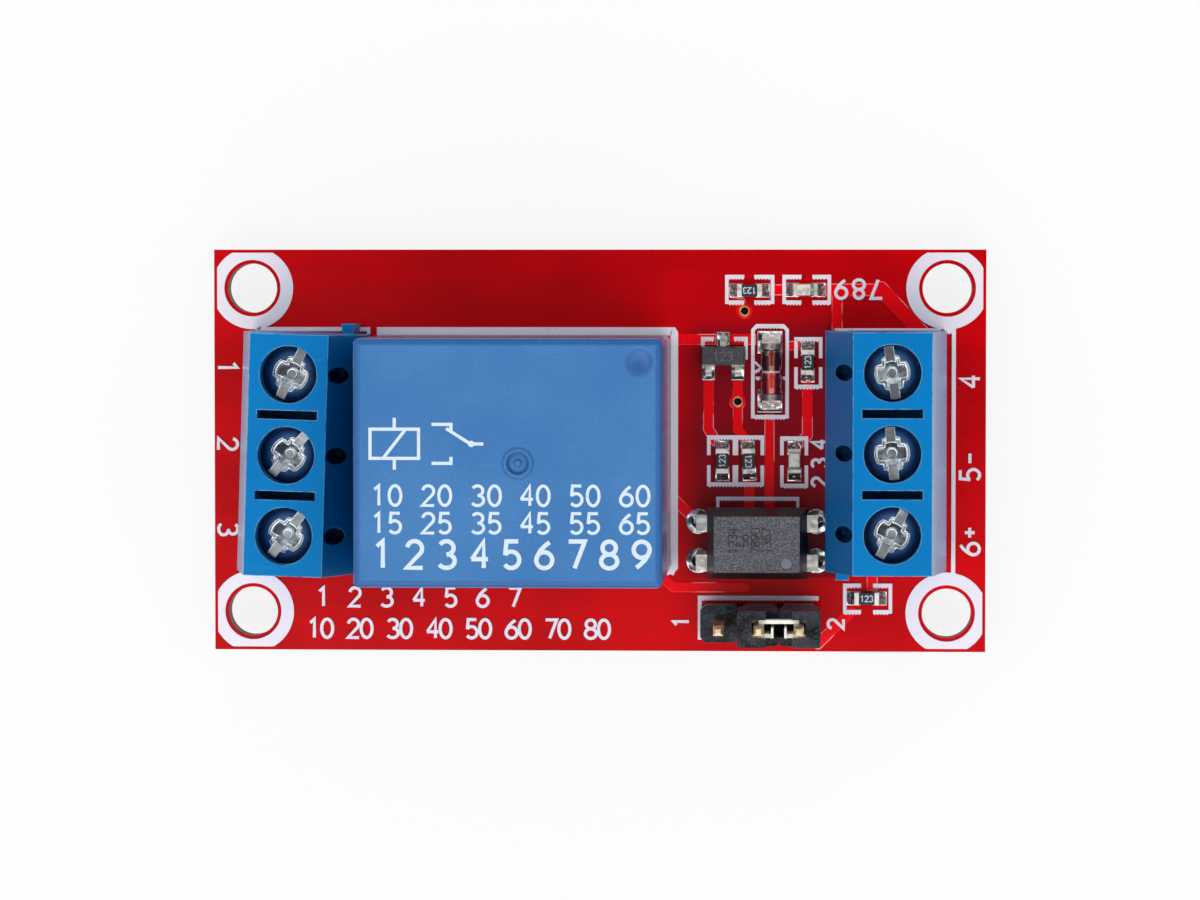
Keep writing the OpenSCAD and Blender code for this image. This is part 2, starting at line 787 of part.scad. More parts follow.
module header_strip() {
    notch = 0.35;
    color([0.18, 0.19, 0.2]) difference() {
        on_board(header_at) linear_extrude(strip_h) difference() {
            square([3 * pin_pitch, strip_w], center = true);
            for (i = [0 : 3], s = [-1, 1])
                translate([(i - 1.5) * pin_pitch, s * strip_w / 2]) rotate(45)
                    square(notch * sqrt(2), center = true);
        }
        at_header_pins() square_pin(pin_w, 0, strip_h + cut);
    }
}

// Square pin with both ends tapered
module header_pin() {
    low = -board_t - tail;
    point = 0.4;
    tip = 0.17;
    module side() {
        polygon([
            [-pin_w / 2 + tip, low], [pin_w / 2 - tip, low], [pin_w / 2, low + point],
            [pin_w / 2, pin_top - point], [pin_w / 2 - tip, pin_top],
            [-pin_w / 2 + tip, pin_top], [-pin_w / 2, pin_top - point], [-pin_w / 2, low + point]
        ]);
    }
    intersection() {
        rotate([90, 0, 0]) translate([0, 0, -pin_w]) linear_extrude(2 * pin_w) side();
        rotate([90, 0, 90]) translate([0, 0, -pin_w]) linear_extrude(2 * pin_w) side();
    }
}

module header_pins() {
    color([0.82, 0.72, 0.42]) at_header_pins() header_pin();
}

jumper_ceiling = jumper_z + jumper_h - 0.9;
blade_y = 0.35;

module jumper_housing() {
    channel_d = 1.15;
    color([0.2, 0.21, 0.22]) on_board(jumper_at) difference() {
        translate([0, 0, jumper_z]) linear_extrude(jumper_h) difference() {
            round_rect(jumper_l, jumper_w, 0.2);
            for (s = [-1, 1]) translate([0, s * jumper_w / 2]) rotate(45)
                square(0.3, center = true);
        }
        block([4, 2 * (blade_y + sheet_t), jumper_ceiling], 0);
        block([3.4, 2 * (blade_y + sheet_t), 2 * jumper_h], jumper_ceiling - cut);
        // Channel across the top, for a test probe
        block([1.7, 2 * jumper_w, jumper_h], jumper_z + jumper_h - channel_d);
    }
}

// Folded sheet: one long blade that stands up in the channel, two short ones with turned-in edges
module jumper_clip() {
    low = jumper_z + 0.4;
    h = jumper_ceiling - low;
    lip_t = 0.15;
    color([0.85, 0.76, 0.5]) on_board(jumper_at) {
        translate([-2, blade_y, low]) cube([4, sheet_t, h]);
        translate([-1.28, blade_y, jumper_ceiling]) cube([2.56, sheet_t, 0.75]);
        for (s = [-1, 1]) {
            translate([s * (2 - sheet_t / 2) - sheet_t / 2, -blade_y - sheet_t, low])
                cube([sheet_t, 2 * (blade_y + sheet_t), h]);
            translate([s * 1.2 - 0.8, -blade_y - sheet_t, low]) cube([1.6, sheet_t, h]);
            translate([s * 0.42 - lip_t / 2, -blade_y - sheet_t, low]) cube([lip_t, 0.65, h + 0.3]);
        }
    }
}

// ---------- optocoupler, transistor, diode ----------

opto_mid = 2.3;
opto_top = 4;

module optocoupler_body() {
    color([0.22, 0.22, 0.24]) on_board(opto_at) difference() {
        drafted_body(opto_l, opto_w, 0.5, opto_mid, opto_top, 0.5);
        translate([opto_l / 2 - 1.35, -opto_w / 2 + 1.05, opto_top - 0.1]) cylinder(d = 0.75, h = cut);
        for (sx = [-1, 1], sy = [-1, 1]) translate([sx * 1.5 * pin_pitch, sy * pin_pitch / 2, 0])
            opto_lead(sx);
    }
}

module opto_tail() {
    block([0.25, 0.5, board_t + tail + 1.1], -board_t - tail);
}

// Lead bent down from the body's side, broad at the shoulder; sx is the side that it is on
module opto_lead(sx) {
    opto_tail();
    block([0.25, 1.1, opto_mid + 0.125 - 1.1], 1.1);
    translate([sx > 0 ? -1.2 : 0, -0.55, opto_mid - 0.125]) cube([1.2, 1.1, 0.25]);
}

module optocoupler_leads() {
    color([0.8, 0.81, 0.82]) for (sx = [-1, 1], sy = [-1, 1])
        on_board([opto_at[0] + sx * 1.5 * pin_pitch, opto_at[1] + sy * pin_pitch / 2])
            opto_lead(sx);
}

sot_mid = 0.6;

module transistor_lead(s) {
    translate([-0.2, s > 0 ? 0.45 : -0.95, sot_mid - 0.06]) cube([0.4, 0.5, 0.12]);
    translate([-0.2, s > 0 ? 0.83 : -0.95, pad_t]) cube([0.4, 0.12, sot_mid - pad_t]);
    translate([-0.2, s > 0 ? 0.83 : -1.28, pad_t]) cube([0.4, 0.45, 0.12]);
}

module all_transistor_leads() {
    on_board(transistor_at) {
        transistor_lead(1);
        for (s = [-1, 1]) translate([s * 0.95, 0, 0]) transistor_lead(-1);
    }
}

module transistor_body() {
    color([0.12, 0.12, 0.13]) difference() {
        on_board(transistor_at) drafted_body(2.9, 1.3, 0.15, sot_mid, 1.1, 0.12);
        all_transistor_leads();
    }
}

module transistor_leads() {
    color([0.8, 0.81, 0.82]) all_transistor_leads();
}

diode_r = 0.66;
diode_cap_l = 0.4;
slug_r = 0.42;

// Lays its children along the diode, z from one end to the other
module along_diode() {
    on_board(diode_at) translate([0, diode_l / 2, pad_t + diode_r + 0.05]) rotate([90, 0, 0]) children();
}

// Two fused beads of glass, each a little narrower towards cap and waist
module diode_glass() {
    glass_l = diode_l - 2 * diode_cap_l;
    bead_l = glass_l / 2;
    waist = 0.09;
    color([0.85, 0.3, 0.1]) along_diode() translate([0, 0, diode_cap_l]) difference() {
        rotate_extrude() {
            square([diode_r - waist, glass_l]);
            for (i = [0, 1]) translate([0, i * bead_l]) polygon([
                [0, 0], [diode_r - waist, 0], [diode_r - 0.03, 0.18], [diode_r, 0.4],
                [diode_r, bead_l - 0.4], [diode_r - 0.03, bead_l - 0.18],
                [diode_r - waist, bead_l], [0, bead_l]
            ]);
        }
        translate([0, 0, -cut]) cylinder(r = slug_r, h = glass_l + 2 * cut);
    }
}

// Two studs and, between them, the crystal that they hold
module diode_slugs() {
    slug_l = diode_l / 2 - diode_cap_l;
    color([0.35, 0.12, 0.06]) along_diode() translate([0, 0, diode_cap_l]) {
        cylinder(r = slug_r, h = slug_l - 0.1);
        translate([0, 0, slug_l - 0.1]) cylinder(r = 0.3, h = 0.2);
        translate([0, 0, slug_l + 0.1]) cylinder(r = slug_r, h = slug_l - 0.1);
    }
}

module diode_caps() {
    color([0.8, 0.8, 0.82]) along_diode() for (z = [0, diode_l - diode_cap_l])
        translate([0, 0, z]) cylinder(r = diode_r + 0.05, h = diode_cap_l);
}

// ---------- chips ----------

// Ceramic of a chip resistor, long side along X
module chip_core() {
    translate([0, 0, pad_t + 0.03]) block([chip_l - 0.06, chip_w - 0.04, chip_t - 0.06]);
}

module resistor(spot) {
    color([0.08, 0.08, 0.09]) on_board(spot, spot[2]) chip_core();
}

// Metal cap that wraps one end of a chip
module chip_cap(h) {
    difference() {
        translate([chip_l / 2 - cap_l, -chip_w / 2, pad_t]) cube([cap_l, chip_w, h]);
        chip_core();
    }
}

module chip_ends() {
    color([0.82, 0.83, 0.84]) {
        for (spot = resistor_spots) on_board(spot, spot[2])
            for (turn = [0, 180]) rotate([0, 0, turn]) chip_cap(chip_t);
        for (spot = [power_lamp_spot, relay_lamp_spot]) on_board(spot, spot[2])
            for (turn = [0, 180]) rotate([0, 0, turn])
                translate([chip_l / 2 - cap_l, -chip_w / 2, pad_t]) cube([cap_l, chip_w, 0.25]);
    }
}

module lamp_base(spot) {
    color([0.93, 0.94, 0.92]) on_board(spot, spot[2]) block([chip_l - 2 * cap_l, chip_w, 0.25], pad_t);
}

module lamp_lens(spot) {
    color([0.86, 0.93, 0.88]) on_board(spot, spot[2]) translate([0, 0, pad_t + 0.25])
        drafted_body(1.15, chip_w, 0, 0, 0.35, 0.06);
}

circuit_board();
copper_tracks();
solder_pads();
solder_fillets();
solder_joints();
relay_cover();
relay_base();
coil_bobbin();
coil_winding();
coil_core();
relay_yoke();
armature();
contact_spring();
moving_contact();
normally_open_contact();
normally_closed_contact();
common_pin();
coil_pins();
output_housing();
output_contact_frames();
at_output_pole(0) wire_clamp();  // output_clamp_1
at_output_pole(1) wire_clamp();  // output_clamp_2
at_output_pole(2) wire_clamp();  // output_clamp_3
at_output_pole(0) clamp_screw(slot_turns_output[0]);  // output_screw_1
at_output_pole(1) clamp_screw(slot_turns_output[1]);  // output_screw_2
at_output_pole(2) clamp_screw(slot_turns_output[2]);  // output_screw_3
input_housing();
input_contact_frames();
at_input_pole(0) wire_clamp();  // input_clamp_1
at_input_pole(1) wire_clamp();  // input_clamp_2
at_input_pole(2) wire_clamp();  // input_clamp_3
at_input_pole(0) clamp_screw(slot_turns_input[0]);  // input_screw_1
at_input_pole(1) clamp_screw(slot_turns_input[1]);  // input_screw_2
at_input_pole(2) clamp_screw(slot_turns_input[2]);  // input_screw_3
header_strip();
header_pins();
jumper_housing();
jumper_clip();
optocoupler_body();
optocoupler_leads();
transistor_body();
transistor_leads();
diode_glass();
diode_slugs();
diode_caps();
resistor(resistor_spots[0]);  // resistor_1
resistor(resistor_spots[1]);  // resistor_2
resistor(resistor_spots[2]);  // resistor_3
resistor(resistor_spots[3]);  // resistor_4
resistor(resistor_spots[4]);  // resistor_5
chip_ends();
lamp_base(power_lamp_spot);  // power_lamp_base
lamp_lens(power_lamp_spot);  // power_lamp_lens
lamp_base(relay_lamp_spot);  // relay_lamp_base
lamp_lens(relay_lamp_spot);  // relay_lamp_lens
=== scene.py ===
import math

import bpy
import numpy as np
from mathutils import Matrix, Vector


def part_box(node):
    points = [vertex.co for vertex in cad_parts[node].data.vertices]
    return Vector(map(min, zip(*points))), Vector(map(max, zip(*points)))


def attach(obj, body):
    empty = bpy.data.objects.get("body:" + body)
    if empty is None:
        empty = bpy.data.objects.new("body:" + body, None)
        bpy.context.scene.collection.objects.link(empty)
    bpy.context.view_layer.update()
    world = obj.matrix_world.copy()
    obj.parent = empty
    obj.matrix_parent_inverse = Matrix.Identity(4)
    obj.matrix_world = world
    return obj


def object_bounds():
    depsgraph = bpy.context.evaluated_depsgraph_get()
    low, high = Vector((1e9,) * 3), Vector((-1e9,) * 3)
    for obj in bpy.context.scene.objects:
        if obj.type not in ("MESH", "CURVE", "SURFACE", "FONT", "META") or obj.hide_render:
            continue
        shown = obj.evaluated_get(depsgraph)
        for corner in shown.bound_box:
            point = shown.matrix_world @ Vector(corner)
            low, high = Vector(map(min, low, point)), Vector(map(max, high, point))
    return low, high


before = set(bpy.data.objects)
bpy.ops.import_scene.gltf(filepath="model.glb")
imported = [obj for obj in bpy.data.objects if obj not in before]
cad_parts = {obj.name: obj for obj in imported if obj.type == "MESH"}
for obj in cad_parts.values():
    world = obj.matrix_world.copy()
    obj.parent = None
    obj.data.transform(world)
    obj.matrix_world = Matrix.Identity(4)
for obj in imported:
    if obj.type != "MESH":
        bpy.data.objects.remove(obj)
cad_box = [list(corner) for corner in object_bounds()]


# ---- Circuit board --------------------------------------------------------------------
# A sheet of glass-fibre laminate, 50 by 26 by 1.6 mm, drilled and routed to size.
# A glossy red lacquer covers both faces and stops at the edge and at the hole walls.

class Value:
    """The output of a node. Operators on it add Math nodes to the same tree."""

    def __init__(self, nodes, socket):
        self.nodes = nodes
        self.socket = socket

    def math(self, operation, left, right):
        return self.nodes.node("ShaderNodeMath", {"operation": operation}, left, right)

    def __add__(self, other):
        return self.math("ADD", self, other)

    __radd__ = __add__

    def __sub__(self, other):
        return self.math("SUBTRACT", self, other)

    def __rsub__(self, other):
        return self.math("SUBTRACT", other, self)

    def __mul__(self, other):
        return self.math("MULTIPLY", self, other)

    __rmul__ = __mul__

    def __gt__(self, other):
        return self.math("GREATER_THAN", self, other)

    def __lt__(self, other):
        return self.math("LESS_THAN", self, other)

    def __abs__(self):
        return self.math("ABSOLUTE", self, 0.0)

    def larger(self, other):
        return self.math("MAXIMUM", self, other)

    def rise(self, low, high):
        """0 below low, 1 above high, and a smooth step between."""
        settings = {"interpolation_type": "SMOOTHSTEP"}
        return self.nodes.node("ShaderNodeMapRange", settings, self, low, high)


class Nodes:
    """A node tree. Every node that isn't a Math node is made by node()."""

    def __init__(self, tree):
        self.tree = tree

    def node(self, kind, settings, *values, out=0, **named):
        """A new node: its settings first, then its sockets by order or name, as values or links."""
        made = self.tree.nodes.new(kind)
        for key, value in settings.items():
            setattr(made, key, value)
        for place, value in enumerate(values):
            self.feed(made.inputs[place], value)
        for key, value in named.items():
            self.feed(made.inputs[key.replace("_", " ")], value)
        return Value(self, made.outputs[out])

    def feed(self, socket, value):
        if isinstance(value, Value):
            self.tree.links.new(value.socket, socket)
        else:
            socket.default_value = value

    def split(self, vector):
        """The three numbers of a place or a direction."""
        parts = self.node("ShaderNodeSeparateXYZ", {}, vector)
        return [Value(self, socket) for socket in parts.socket.node.outputs]


def paint(red, green, blue):
    """A colour of 0 to 255 a channel, as the linear values that a shader takes."""
    parts = np.array([red, green, blue]) / 255
    return (*np.where(parts < 0.04045, parts / 12.92, ((parts + 0.055) / 1.055) ** 2.4), 1)


class Finish(Nodes):
    """One material. Its constants go on the shader's own sockets."""

    def __init__(self, name, colour, **constants):
        self.material = bpy.data.materials.new(name)
        self.material.use_nodes = True
        super().__init__(self.material.node_tree)
        self.shader = self.tree.nodes["Principled BSDF"]
        self.shader.inputs["Base Color"].default_value = colour
        for socket, value in constants.items():
            self.shader.inputs[socket.replace("_", " ")].default_value = value

    def shade(self, **sockets):
        """What changes over the surface, by the shader's socket."""
        for key, value in sockets.items():
            self.feed(self.shader.inputs[key.replace("_", " ")], value)

    def place(self):
        """The point on the object, in millimetres."""
        point = self.node("ShaderNodeTexCoord", {}, out="Object")
        return self.node("ShaderNodeVectorMath", {"operation": "SCALE"}, point, Scale=1000.0)

    def upward(self):
        """1 on faces that lie flat, 0 on upright ones."""
        normal = self.node("ShaderNodeNewGeometry", {}, out="True Normal")
        return abs(self.split(normal)[2]).rise(0.75, 0.97)

    def cloud(self, size, detail=2.0, stretch=(1, 1, 1), roughness=0.5):
        """Noise of 0 to 1 whose lumps are about size mm across, drawn out by stretch."""
        spread = self.node("ShaderNodeMapping", {}, self.place(), Scale=stretch)
        return self.node("ShaderNodeTexNoise", {}, Vector=spread, Scale=1.0 / size, Detail=detail,
                         Roughness=roughness)

    def mix(self, one, other, share):
        """From colour one to colour other by share."""
        made = self.node("ShaderNodeMix", {"data_type": "RGBA"}, share, out=2)
        self.feed(made.socket.node.inputs[6], one)
        self.feed(made.socket.node.inputs[7], other)
        return made

    def rounded(self, radius):
        """Normals as if every edge were rounded to radius mm."""
        return self.node("ShaderNodeBevel", {"samples": 6}, radius / 1000)

    def edges(self, radius):
        """About 0 on flats and towards 1 within radius mm of an edge."""
        true = self.node("ShaderNodeNewGeometry", {}, out="True Normal")
        match = self.node("ShaderNodeVectorMath", {"operation": "DOT_PRODUCT"},
                          self.rounded(radius), true, out="Value")
        return (1 - match).rise(0.01, 0.12)

    def bump(self, height, depth, radius=None):
        """Raises the surface by height times depth mm, over rounded edges where radius is given."""
        made = self.node("ShaderNodeBump", {}, Height=height, Distance=depth / 1000, Strength=1.0)
        if radius:
            self.feed(made.socket.node.inputs["Normal"], self.rounded(radius))
        self.shade(Normal=made)

    def over(self, colour, share):
        """Lays another colour over what the finish has so far, by share."""
        before = Value(self, self.shader.inputs["Base Color"].links[0].from_socket)
        self.shade(Base_Color=self.mix(before, colour, share))

    def dress(self, *nodes):
        """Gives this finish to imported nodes."""
        for name in nodes:
            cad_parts[name].data.materials.clear()
            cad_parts[name].data.materials.append(self.material)


def lacquer_faces(made, colour, deep, specks):
    """Red lacquer from colour to deep in streaks and patches, with pale dust grains."""
    streaks = made.cloud(5.0, 3.0, (0.25, 1.6, 1))
    patches = made.cloud(9.0)
    dust = made.cloud(0.11, 1.0).rise(0.80, 0.86)
    tone = made.mix(deep, colour, (0.55 * streaks + 0.45 * patches).rise(0.32, 0.68))
    return made.mix(tone, paint(236, 150, 156), specks * dust)


laminate = Finish("red_lacquer", paint(190, 0, 12), Roughness=0.12, Specular_IOR_Level=0.3)
x, y, _ = laminate.split(laminate.place())
flat = laminate.upward()
# No copper lies under the lacquer where the small parts stand, so it is darker there
bare_left, bare_right, bare_low, bare_high = 4.9, 15.4, -8.2, 9.4
bare = (x - bare_left).rise(0, 1.9) * (bare_right - x).rise(-0.1, 0.1)
bare = bare * (y - bare_low).rise(-0.1, 0.1) * (bare_high - y).rise(0, 2.4)
over_copper = lacquer_faces(laminate, paint(216, 0, 12), paint(182, 0, 8), 0.55)
over_glass = lacquer_faces(laminate, paint(154, 6, 26), paint(132, 6, 22), 0.3)
face = laminate.mix(over_copper, over_glass, bare)
fibres = laminate.cloud(0.16, 2.0, (1, 1, 7))
# The sawn outer edges are pale, and the walls of the holes are stained with lacquer
board_end, board_side = 25.0, 13.0
outer = (abs(x) > board_end - 0.1) + (abs(y) > board_side - 0.1)
wall = laminate.mix(paint(112, 34, 26), paint(206, 176, 138), outer)
wall = laminate.mix(wall, paint(236, 214, 200), (0.15 + 0.55 * outer) * fibres.rise(0.55, 0.75))
laminate.shade(Base_Color=laminate.mix(wall, face, flat),
               Roughness=0.5 - 0.40 * flat + 0.05 * laminate.cloud(2.0, 3.0))
laminate.bump(laminate.cloud(0.9) + 0.2 * laminate.cloud(0.12), 0.003, 0.05)
laminate.dress("circuit_board")


# ---- Copper tracks under the lacquer ---------------------------------------------------
# Etched copper strips and lands. The lacquer runs over them, so they stand a little
# proud and the metal underneath makes the red look brighter.

covered = Finish("lacquered_copper", paint(255, 0, 20), Roughness=0.1, Specular_IOR_Level=0.35)
# Pale streaks along the track edges are a painted highlight
painted_edge_glint = covered.edges(0.12) * covered.cloud(1.6, 2.0, (0.5, 0.5, 1)).rise(0.50, 0.58)
tracks_red = lacquer_faces(covered, paint(255, 2, 20), paint(242, 0, 14), 0.3)
covered.shade(Base_Color=covered.mix(tracks_red, paint(255, 214, 218), 0.85 * painted_edge_glint),
              Roughness=0.10 + 0.08 * covered.cloud(1.2))
covered.bump(covered.cloud(0.7), 0.003, 0.08)
covered.dress("copper_tracks")


# ---- Plated holes ----------------------------------------------------------------------
# Two small holes that join the copper on both faces, each with a gilded rim. A dark plug in
# each stands in for the shade down the hole: painted shade.

def quads(rows, columns, close_rows=False, close_columns=False):
    """Faces of a grid of vertices, row by row. A closed direction joins its last line to
    its first."""
    last_row, last_column = rows - (not close_rows), columns - (not close_columns)
    i, j = np.meshgrid(np.arange(last_row), np.arange(last_column), indexing="ij")
    i, j = i.ravel(), j.ravel()
    down, right = (i + 1) % rows, (j + 1) % columns
    return np.stack([i * columns + j, down * columns + j,
                     down * columns + right, i * columns + right], 1)


def turned(profile, at, steps=48):
    """A lathe form: each (radius, height) of a closed profile, carried round the axis at (x, y)."""
    profile = np.array(profile, float)
    angle = np.linspace(0, 2 * np.pi, steps, endpoint=False)[:, None]
    radius, height = profile[None, :, 0], profile[None, :, 1]
    points = np.stack([at[0] + radius * np.cos(angle), at[1] + radius * np.sin(angle),
                       height + 0 * angle], 2).reshape(-1, 3)
    return points, quads(steps, len(profile), True, True)


def piece(name, parts, finish, body="board", smooth=False):
    """One object of closed parts, each a pair of points in mm and faces.
    A part whose volume comes out below 0 has its faces reversed, so that all face outwards."""
    all_points, all_faces, count = [], [], 0
    for points, faces in parts:
        corners = points[faces]
        first = np.einsum("ij,ij->i", corners[:, 0], np.cross(corners[:, 1], corners[:, 2]))
        second = np.einsum("ij,ij->i", corners[:, 0], np.cross(corners[:, 2], corners[:, 3]))
        if first.sum() + second.sum() < 0:
            faces = faces[:, ::-1]
        all_points.append(points)
        all_faces.append(faces + count)
        count += len(points)
    points, faces = np.concatenate(all_points) / 1000, np.concatenate(all_faces)
    mesh = bpy.data.meshes.new(name)
    mesh.vertices.add(len(points))
    mesh.vertices.foreach_set("co", points.ravel())
    mesh.loops.add(faces.size)
    mesh.loops.foreach_set("vertex_index", faces.ravel().astype(np.int32))
    mesh.polygons.add(len(faces))
    mesh.polygons.foreach_set("loop_start", np.arange(0, faces.size, 4, dtype=np.int32))
    mesh.polygons.foreach_set("use_smooth", np.full(len(faces), smooth))
    mesh.update(calc_edges=True)
    mesh.validate()
    mesh.materials.append(finish.material)
    made = bpy.data.objects.new(name, mesh)
    bpy.context.collection.objects.link(made)
    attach(made, body)


gilt = Finish("gilded_rim", paint(224, 140, 76), Metallic=1.0, Roughness=0.35)
gilt.shade(Base_Color=gilt.mix(paint(206, 110, 56), paint(244, 184, 112), gilt.cloud(0.3)))
gilt.bump(gilt.cloud(0.2), 0.004)
# Painted shade: a dark fill where the holes would be in shadow
shade_fill = Finish("via_shade_fill", paint(26, 6, 6), Roughness=0.5)
shade_fill.shade(Base_Color=shade_fill.mix(paint(16, 4, 4), paint(44, 12, 10), shade_fill.cloud(0.3)))
shade_fill.bump(shade_fill.cloud(0.2), 0.01)
via_spots = [(8.98, 3.17), (9.42, 9.03)]
rim = [(0.245, 1.5), (0.245, 1.68), (0.27, 1.70), (0.335, 1.70), (0.36, 1.68), (0.36, 1.6),
       (0.295, 1.5)]
piece("via_rims", [turned(rim, spot) for spot in via_spots], gilt, smooth=True)
shade_plug = [(0.0, 0.9), (0.24, 0.9), (0.24, 1.25), (0.0, 1.22)]
piece("via_shade_plugs", [turned(shade_plug, spot, 24) for spot in via_spots], shade_fill, smooth=True)


# ---- White print on the board ----------------------------------------------------------
# Screen-printed white ink: rings round the mounting holes, outlines of the parts and
# counting numbers. The mesh of the screen leaves fine teeth along the lower edges.

def ribbon(path, width, low, high, closed=False, teeth=0.0):
    """A flat strip along a path of (x, y). Each point is set out to both sides along its mitre,
    which is at most as long as the strip is wide. On a side that faces down the board, every
    second point stands out further by teeth."""
    path = np.array(path, float)
    ahead = np.roll(path, -1, 0) - path
    if not closed:
        ahead[-1] = path[-1] - path[-2]
    ahead /= np.linalg.norm(ahead, axis=1)[:, None]
    behind = np.roll(ahead, 1, 0)
    if not closed:
        behind[0] = ahead[0]
    along = ahead + behind
    along /= np.maximum(np.linalg.norm(along, axis=1), 0.3)[:, None]
    reach = width / 2 / np.maximum(np.einsum("ij,ij->i", along, ahead), 0.5)
    side = np.stack([-along[:, 1], along[:, 0]], 1)
    extra = teeth * (np.arange(len(path)) % 2)
    left = path + side * (reach + extra * (side[:, 1] < -0.8))[:, None]
    right = path - side * (reach + extra * (side[:, 1] > 0.8))[:, None]
    rows = np.stack([np.c_[left, 0 * left[:, 0] + low], np.c_[right, 0 * left[:, 0] + low],
                     np.c_[right, 0 * left[:, 0] + high], np.c_[left, 0 * left[:, 0] + high]], 1)
    faces = quads(len(path), 4, closed, True)
    if not closed:
        last = (len(path) - 1) * 4
        faces = np.concatenate([faces, [[0, 1, 2, 3]], [[last + 3, last + 2, last + 1, last]]])
    return rows.reshape(-1, 3), faces


def arc(x, y, wide, high, start, end, steps=14):
    """Points of an elliptic arc about (x, y), from start to end degrees."""
    angle = np.radians(np.linspace(start, end, steps))
    return np.c_[x + wide * np.cos(angle), y + high * np.sin(angle)]


# The strokes of each figure, in a box 0.6 wide and 1 high
hook = np.array([[0.5, 0.97], [0.33, 0.84], [0.16, 0.66], [0.05, 0.47], [0, 0.3]])
numeral_strokes = {
    "0": [arc(0.3, 0.5, 0.3, 0.5, 0, 360, 25)],
    "1": [[[0.1, 0.8], [0.32, 1], [0.32, 0]]],
    "2": [np.r_[arc(0.3, 0.72, 0.28, 0.28, 170, -35), [[0, 0], [0.6, 0]]]],
    "3": [arc(0.28, 0.75, 0.27, 0.25, 150, -90), arc(0.28, 0.26, 0.31, 0.26, 85, -150)],
    "4": [[[0.46, 0], [0.46, 1], [0.02, 0.33]], [[0, 0.33], [0.62, 0.33]]],
    "5": [[[0.54, 1], [0.1, 1], [0.05, 0.48]], arc(0.28, 0.31, 0.3, 0.31, 142, -145)],
    "6": [arc(0.3, 0.3, 0.3, 0.3, 0, 360, 23), hook],
    "7": [[[0, 1], [0.6, 1], [0.22, 0]]],
    "8": [arc(0.3, 0.76, 0.25, 0.24, 0, 360, 21), arc(0.3, 0.26, 0.3, 0.26, 0, 360, 23)],
    "9": [arc(0.3, 0.7, 0.3, 0.3, 0, 360, 23), [0.6, 1] - hook],
    "+": [[[0.05, 0.5], [0.55, 0.5]], [[0.3, 0.25], [0.3, 0.75]]],
    "-": [[[0.05, 0.5], [0.55, 0.5]]],
}


def numbers(text, start, height, width, low, high, turn=0, length=None):
    """Numerals drawn as ribbons from start, turned by degrees, and spread over length mm."""
    turn = math.radians(turn)
    step = 0.85 * height if length is None else (length - 0.6 * height) / max(len(text) - 1, 1)
    across = np.array([[math.cos(turn), math.sin(turn)], [-math.sin(turn), math.cos(turn)]])
    parts = []
    for place, figure in enumerate(text):
        for stroke in numeral_strokes.get(figure, []):
            path = np.array(stroke, float) * height + [place * step, 0]
            round_form = len(path) > 15 and np.allclose(path[0], path[-1])
            if round_form:
                path = path[:-1]
            parts.append(ribbon(path @ across + start, width, low, high, round_form))
    return parts


def staggered(parts, high, step=0.0015):
    """Lifts each part's top a little above the one before, so that no two tops share a plane."""
    for place, (points, faces) in enumerate(parts):
        points[points[:, 2] > high - 0.0001, 2] += step * (place % 12)
    return parts


ink = Finish("white_print", paint(232, 226, 236), Roughness=0.55, Specular_IOR_Level=0.3)
thin = ink.cloud(0.35, 3.0).rise(0.62, 0.80)
ink.shade(Base_Color=ink.mix(paint(238, 232, 242), paint(222, 176, 186), 0.5 * thin))
ink.bump(ink.cloud(0.12), 0.004)

# The ink lies on the board's top face, 1.6 mm up
print_low, print_high = 1.6, 1.675
line_width, screen_pitch, tooth = 0.23, 0.1, 0.1


def line(path, width=line_width, closed=False):
    """A printed line along straight runs, which are cut up into short steps for the teeth."""
    ends = path[1:] + path[:1] if closed else path[1:]
    fine = []
    for start, end in zip(path, ends):
        steps = max(int(math.dist(start, end) / screen_pitch), 1)
        fine += [np.array(start) + (np.array(end) - start) * k / steps for k in range(steps)]
    if not closed:
        fine.append(path[-1])
    return ribbon(fine, width, print_low, print_high, closed, tooth)


def ring(x, y, inner, outer, edge, steps=120):
    """A flat ring about (x, y), cut off straight at edge mm towards both sides of the board."""
    angle = np.linspace(0, 2 * np.pi, steps, endpoint=False)
    reach_x = edge / np.maximum(np.cos(angle) * np.sign(x), 1e-6)
    reach_y = edge / np.maximum(np.sin(angle) * np.sign(y), 1e-6)
    outside = np.minimum(outer, np.minimum(reach_x, reach_y))
    radius = np.stack([inner + 0 * angle, outside, outside, inner + 0 * angle], 1)
    height = np.array([print_low, print_low, print_high, print_high])[None, :] + 0 * radius
    points = np.stack([x + radius * np.cos(angle)[:, None],
                       y + radius * np.sin(angle)[:, None], height], 2)
    return points.reshape(-1, 3), quads(steps, 4, True, True)


def brackets(x0, x1, y0, y1, gap0, gap1, upright=False):
    """Two facing brackets round a part, inside the given box and open from gap0 to gap1."""
    inset = line_width / 2
    x0, x1, y0, y1 = x0 + inset, x1 - inset, y0 + inset, y1 - inset
    if upright:
        return [line([[x0, gap], [x0, y], [x1, y], [x1, gap]])
                for gap, y in ((gap0, y0), (gap1, y1))]
    return [line([[gap, y0], [x, y0], [x, y1], [gap, y1]])
            for gap, x in ((gap0, x0), (gap1, x1))]


# Rings round the mounting holes, which stand 2.5 mm in from the edges
hole_x, hole_y = 22.5, 10.5
marks = [ring(hole_x * sx, hole_y * sy, 1.83, 2.65, 2.3) for sx in (-1, 1) for sy in (-1, 1)]
# Outline of the relay, hidden by it on two sides
marks += [line([[-14.4, 7.74], [4.8, 7.74], [4.89, 7.6], [4.89, -7.55], [4.7, -7.76],
                [3.2, -7.76]], 0.48)]
# Outlines of the two terminal blocks
marks += [line([[-21.6, 8.4], [-22.2, 7.87], [-14.95, 7.87], [-14.95, 7.3]], 0.22),
          line([[15.4, 7.5], [15.4, 7.77], [22.1, 7.77]], 0.3),
          line([[22.92, 8.0], [22.92, -7.9]], 0.26), line([[22.3, 7.77], [22.92, 7.77]], 0.3)]
